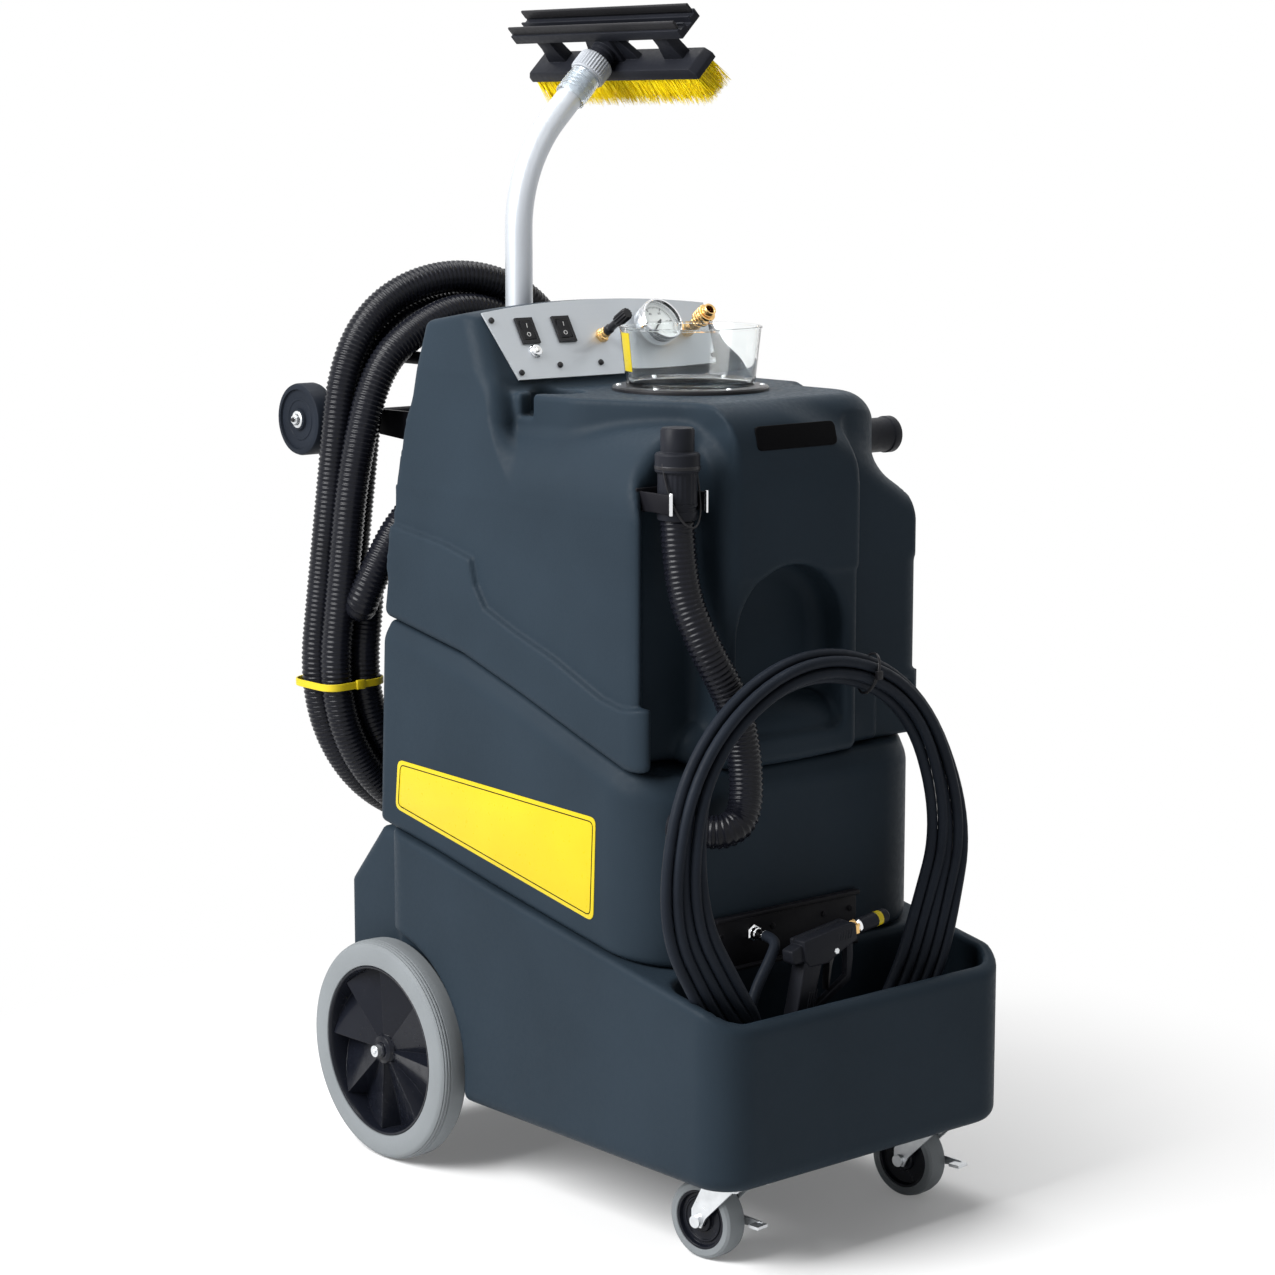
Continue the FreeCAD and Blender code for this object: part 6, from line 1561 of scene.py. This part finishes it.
class ScrubberStage(PropertyGroup):
    floor_colour: FloatVectorProperty(name="Floor", description="Colour of the floor", subtype="COLOR", size=3,
                                      min=0, max=1, default=(0.90, 0.90, 0.90))
    fill: FloatProperty(name="Fill light", description="Strength of the light from all round", default=0.10, min=0)
    key: FloatProperty(name="Left light", description="Power of the lamp on the left", unit="POWER", default=330, min=0)
    front: FloatProperty(name="Front light", description="Power of the lamp in front", unit="POWER", default=7, min=0)
    top: FloatProperty(name="Top light", description="Power of the lamp above", unit="POWER", default=120, min=0)


class Scrubber(PropertyGroup):
    colours: PointerProperty(type=ScrubberColours)
    hoses: PointerProperty(type=ScrubberHoses)
    wheels: PointerProperty(type=ScrubberWheels)
    brush: PointerProperty(type=ScrubberBrush)
    stage: PointerProperty(type=ScrubberStage)


class SCRUBBER_OT_stage(Operator):
    """Builds the camera, the floor and the studio light"""
    bl_idname = "scrubber.stage"
    bl_label = "Stage"

    def execute(self, context):
        make_stage(context.scene.scrubber.stage)
        return {"FINISHED"}


class SCRUBBER_OT_finishes(Operator):
    """Makes the finishes and puts them on the frame's own parts"""
    bl_idname = "scrubber.finishes"
    bl_label = "Finishes"

    def execute(self, context):
        make_finishes(context.scene.scrubber.colours)
        finish_kept_nodes()
        return {"FINISHED"}


class SCRUBBER_OT_vacuum_hose(Operator):
    """Builds the coiled vacuum hose with its cuffs and the strap round it"""
    bl_idname = "scrubber.vacuum_hose"
    bl_label = "Vacuum hose"

    def execute(self, context):
        make_vacuum_hose(context.scene.scrubber.hoses)
        return {"FINISHED"}


class SCRUBBER_OT_drain_hose(Operator):
    """Builds the drain hose, its cap and its clip"""
    bl_idname = "scrubber.drain_hose"
    bl_label = "Drain hose"

    def execute(self, context):
        make_drain_hose(context.scene.scrubber.hoses)
        return {"FINISHED"}


class SCRUBBER_OT_solution_hose(Operator):
    """Builds the solution hose in the tray and the spray gun on its end"""
    bl_idname = "scrubber.solution_hose"
    bl_label = "Solution hose and gun"

    def execute(self, context):
        hoses = context.scene.scrubber.hoses
        make_gun(*make_solution_hose(hoses), hoses)
        return {"FINISHED"}


class SCRUBBER_OT_shells(Operator):
    """Builds the three moulded shells"""
    bl_idname = "scrubber.shells"
    bl_label = "Moulded shells"

    def execute(self, context):
        make_shells()
        return {"FINISHED"}


class SCRUBBER_OT_wheels(Operator):
    """Builds the rear wheels and the nuts on the axles"""
    bl_idname = "scrubber.wheels"
    bl_label = "Rear wheels"

    def execute(self, context):
        make_wheels(context.scene.scrubber.wheels)
        make_axle_nuts()
        return {"FINISHED"}


class SCRUBBER_OT_casters(Operator):
    """Builds the caster wheels and the loading wheels"""
    bl_idname = "scrubber.casters"
    bl_label = "Casters and loading wheels"

    def execute(self, context):
        make_casters()
        return {"FINISHED"}


class SCRUBBER_OT_wand(Operator):
    """Builds the wand and its threaded sleeve"""
    bl_idname = "scrubber.wand"
    bl_label = "Wand"

    def execute(self, context):
        make_wand()
        return {"FINISHED"}


class SCRUBBER_OT_head(Operator):
    """Builds the cleaning head with its squeegee and brush"""
    bl_idname = "scrubber.head"
    bl_label = "Cleaning head"

    def execute(self, context):
        make_head(context.scene.scrubber.brush)
        return {"FINISHED"}


class SCRUBBER_OT_controls(Operator):
    """Builds the controls on the panel"""
    bl_idname = "scrubber.controls"
    bl_label = "Controls"

    def execute(self, context):
        make_controls()
        return {"FINISHED"}


class SCRUBBER_OT_lid(Operator):
    """Builds the clear lid, its ring and the grille below"""
    bl_idname = "scrubber.lid"
    bl_label = "Lid"

    def execute(self, context):
        make_lid()
        return {"FINISHED"}


class SCRUBBER_OT_fittings(Operator):
    """Builds the inlet spout, the filler rim, the tray bracket, the outlets and the plain plates"""
    bl_idname = "scrubber.fittings"
    bl_label = "Fittings and plates"

    def execute(self, context):
        make_port_and_fittings()
        make_plates()
        return {"FINISHED"}


OPERATORS = (SCRUBBER_OT_stage, SCRUBBER_OT_finishes, SCRUBBER_OT_vacuum_hose, SCRUBBER_OT_drain_hose,
             SCRUBBER_OT_solution_hose, SCRUBBER_OT_shells, SCRUBBER_OT_wheels, SCRUBBER_OT_casters,
             SCRUBBER_OT_wand, SCRUBBER_OT_head, SCRUBBER_OT_controls, SCRUBBER_OT_lid, SCRUBBER_OT_fittings)


class SCRUBBER_PT_panel(Panel):
    """Lists the machine's sizes and the operators that build it"""
    bl_idname = "SCRUBBER_PT_panel"
    bl_label = "Floor Scrubber"
    bl_space_type = "VIEW_3D"
    bl_region_type = "UI"
    bl_category = "Scrubber"

    def draw(self, context):
        layout = self.layout
        settings = context.scene.scrubber
        for group in (settings.colours, settings.hoses, settings.wheels, settings.brush, settings.stage):
            column = layout.box().column()
            for name in group.__annotations__:
                column.prop(group, name)
        for operator in OPERATORS:
            layout.operator(operator.bl_idname)


GROUPS = (ScrubberColours, ScrubberHoses, ScrubberWheels, ScrubberBrush, ScrubberStage, Scrubber)


def register():
    for kind in GROUPS + OPERATORS + (SCRUBBER_PT_panel,):
        bpy.utils.register_class(kind)
    bpy.types.Scene.scrubber = PointerProperty(type=Scrubber)


def unregister():
    del bpy.types.Scene.scrubber
    for kind in reversed(GROUPS + OPERATORS + (SCRUBBER_PT_panel,)):
        bpy.utils.unregister_class(kind)


def main():
    register()
    for operator in OPERATORS:
        group, name = operator.bl_idname.split(".")
        getattr(getattr(bpy.ops, group), name)()


if __name__ == "__main__":
    main()
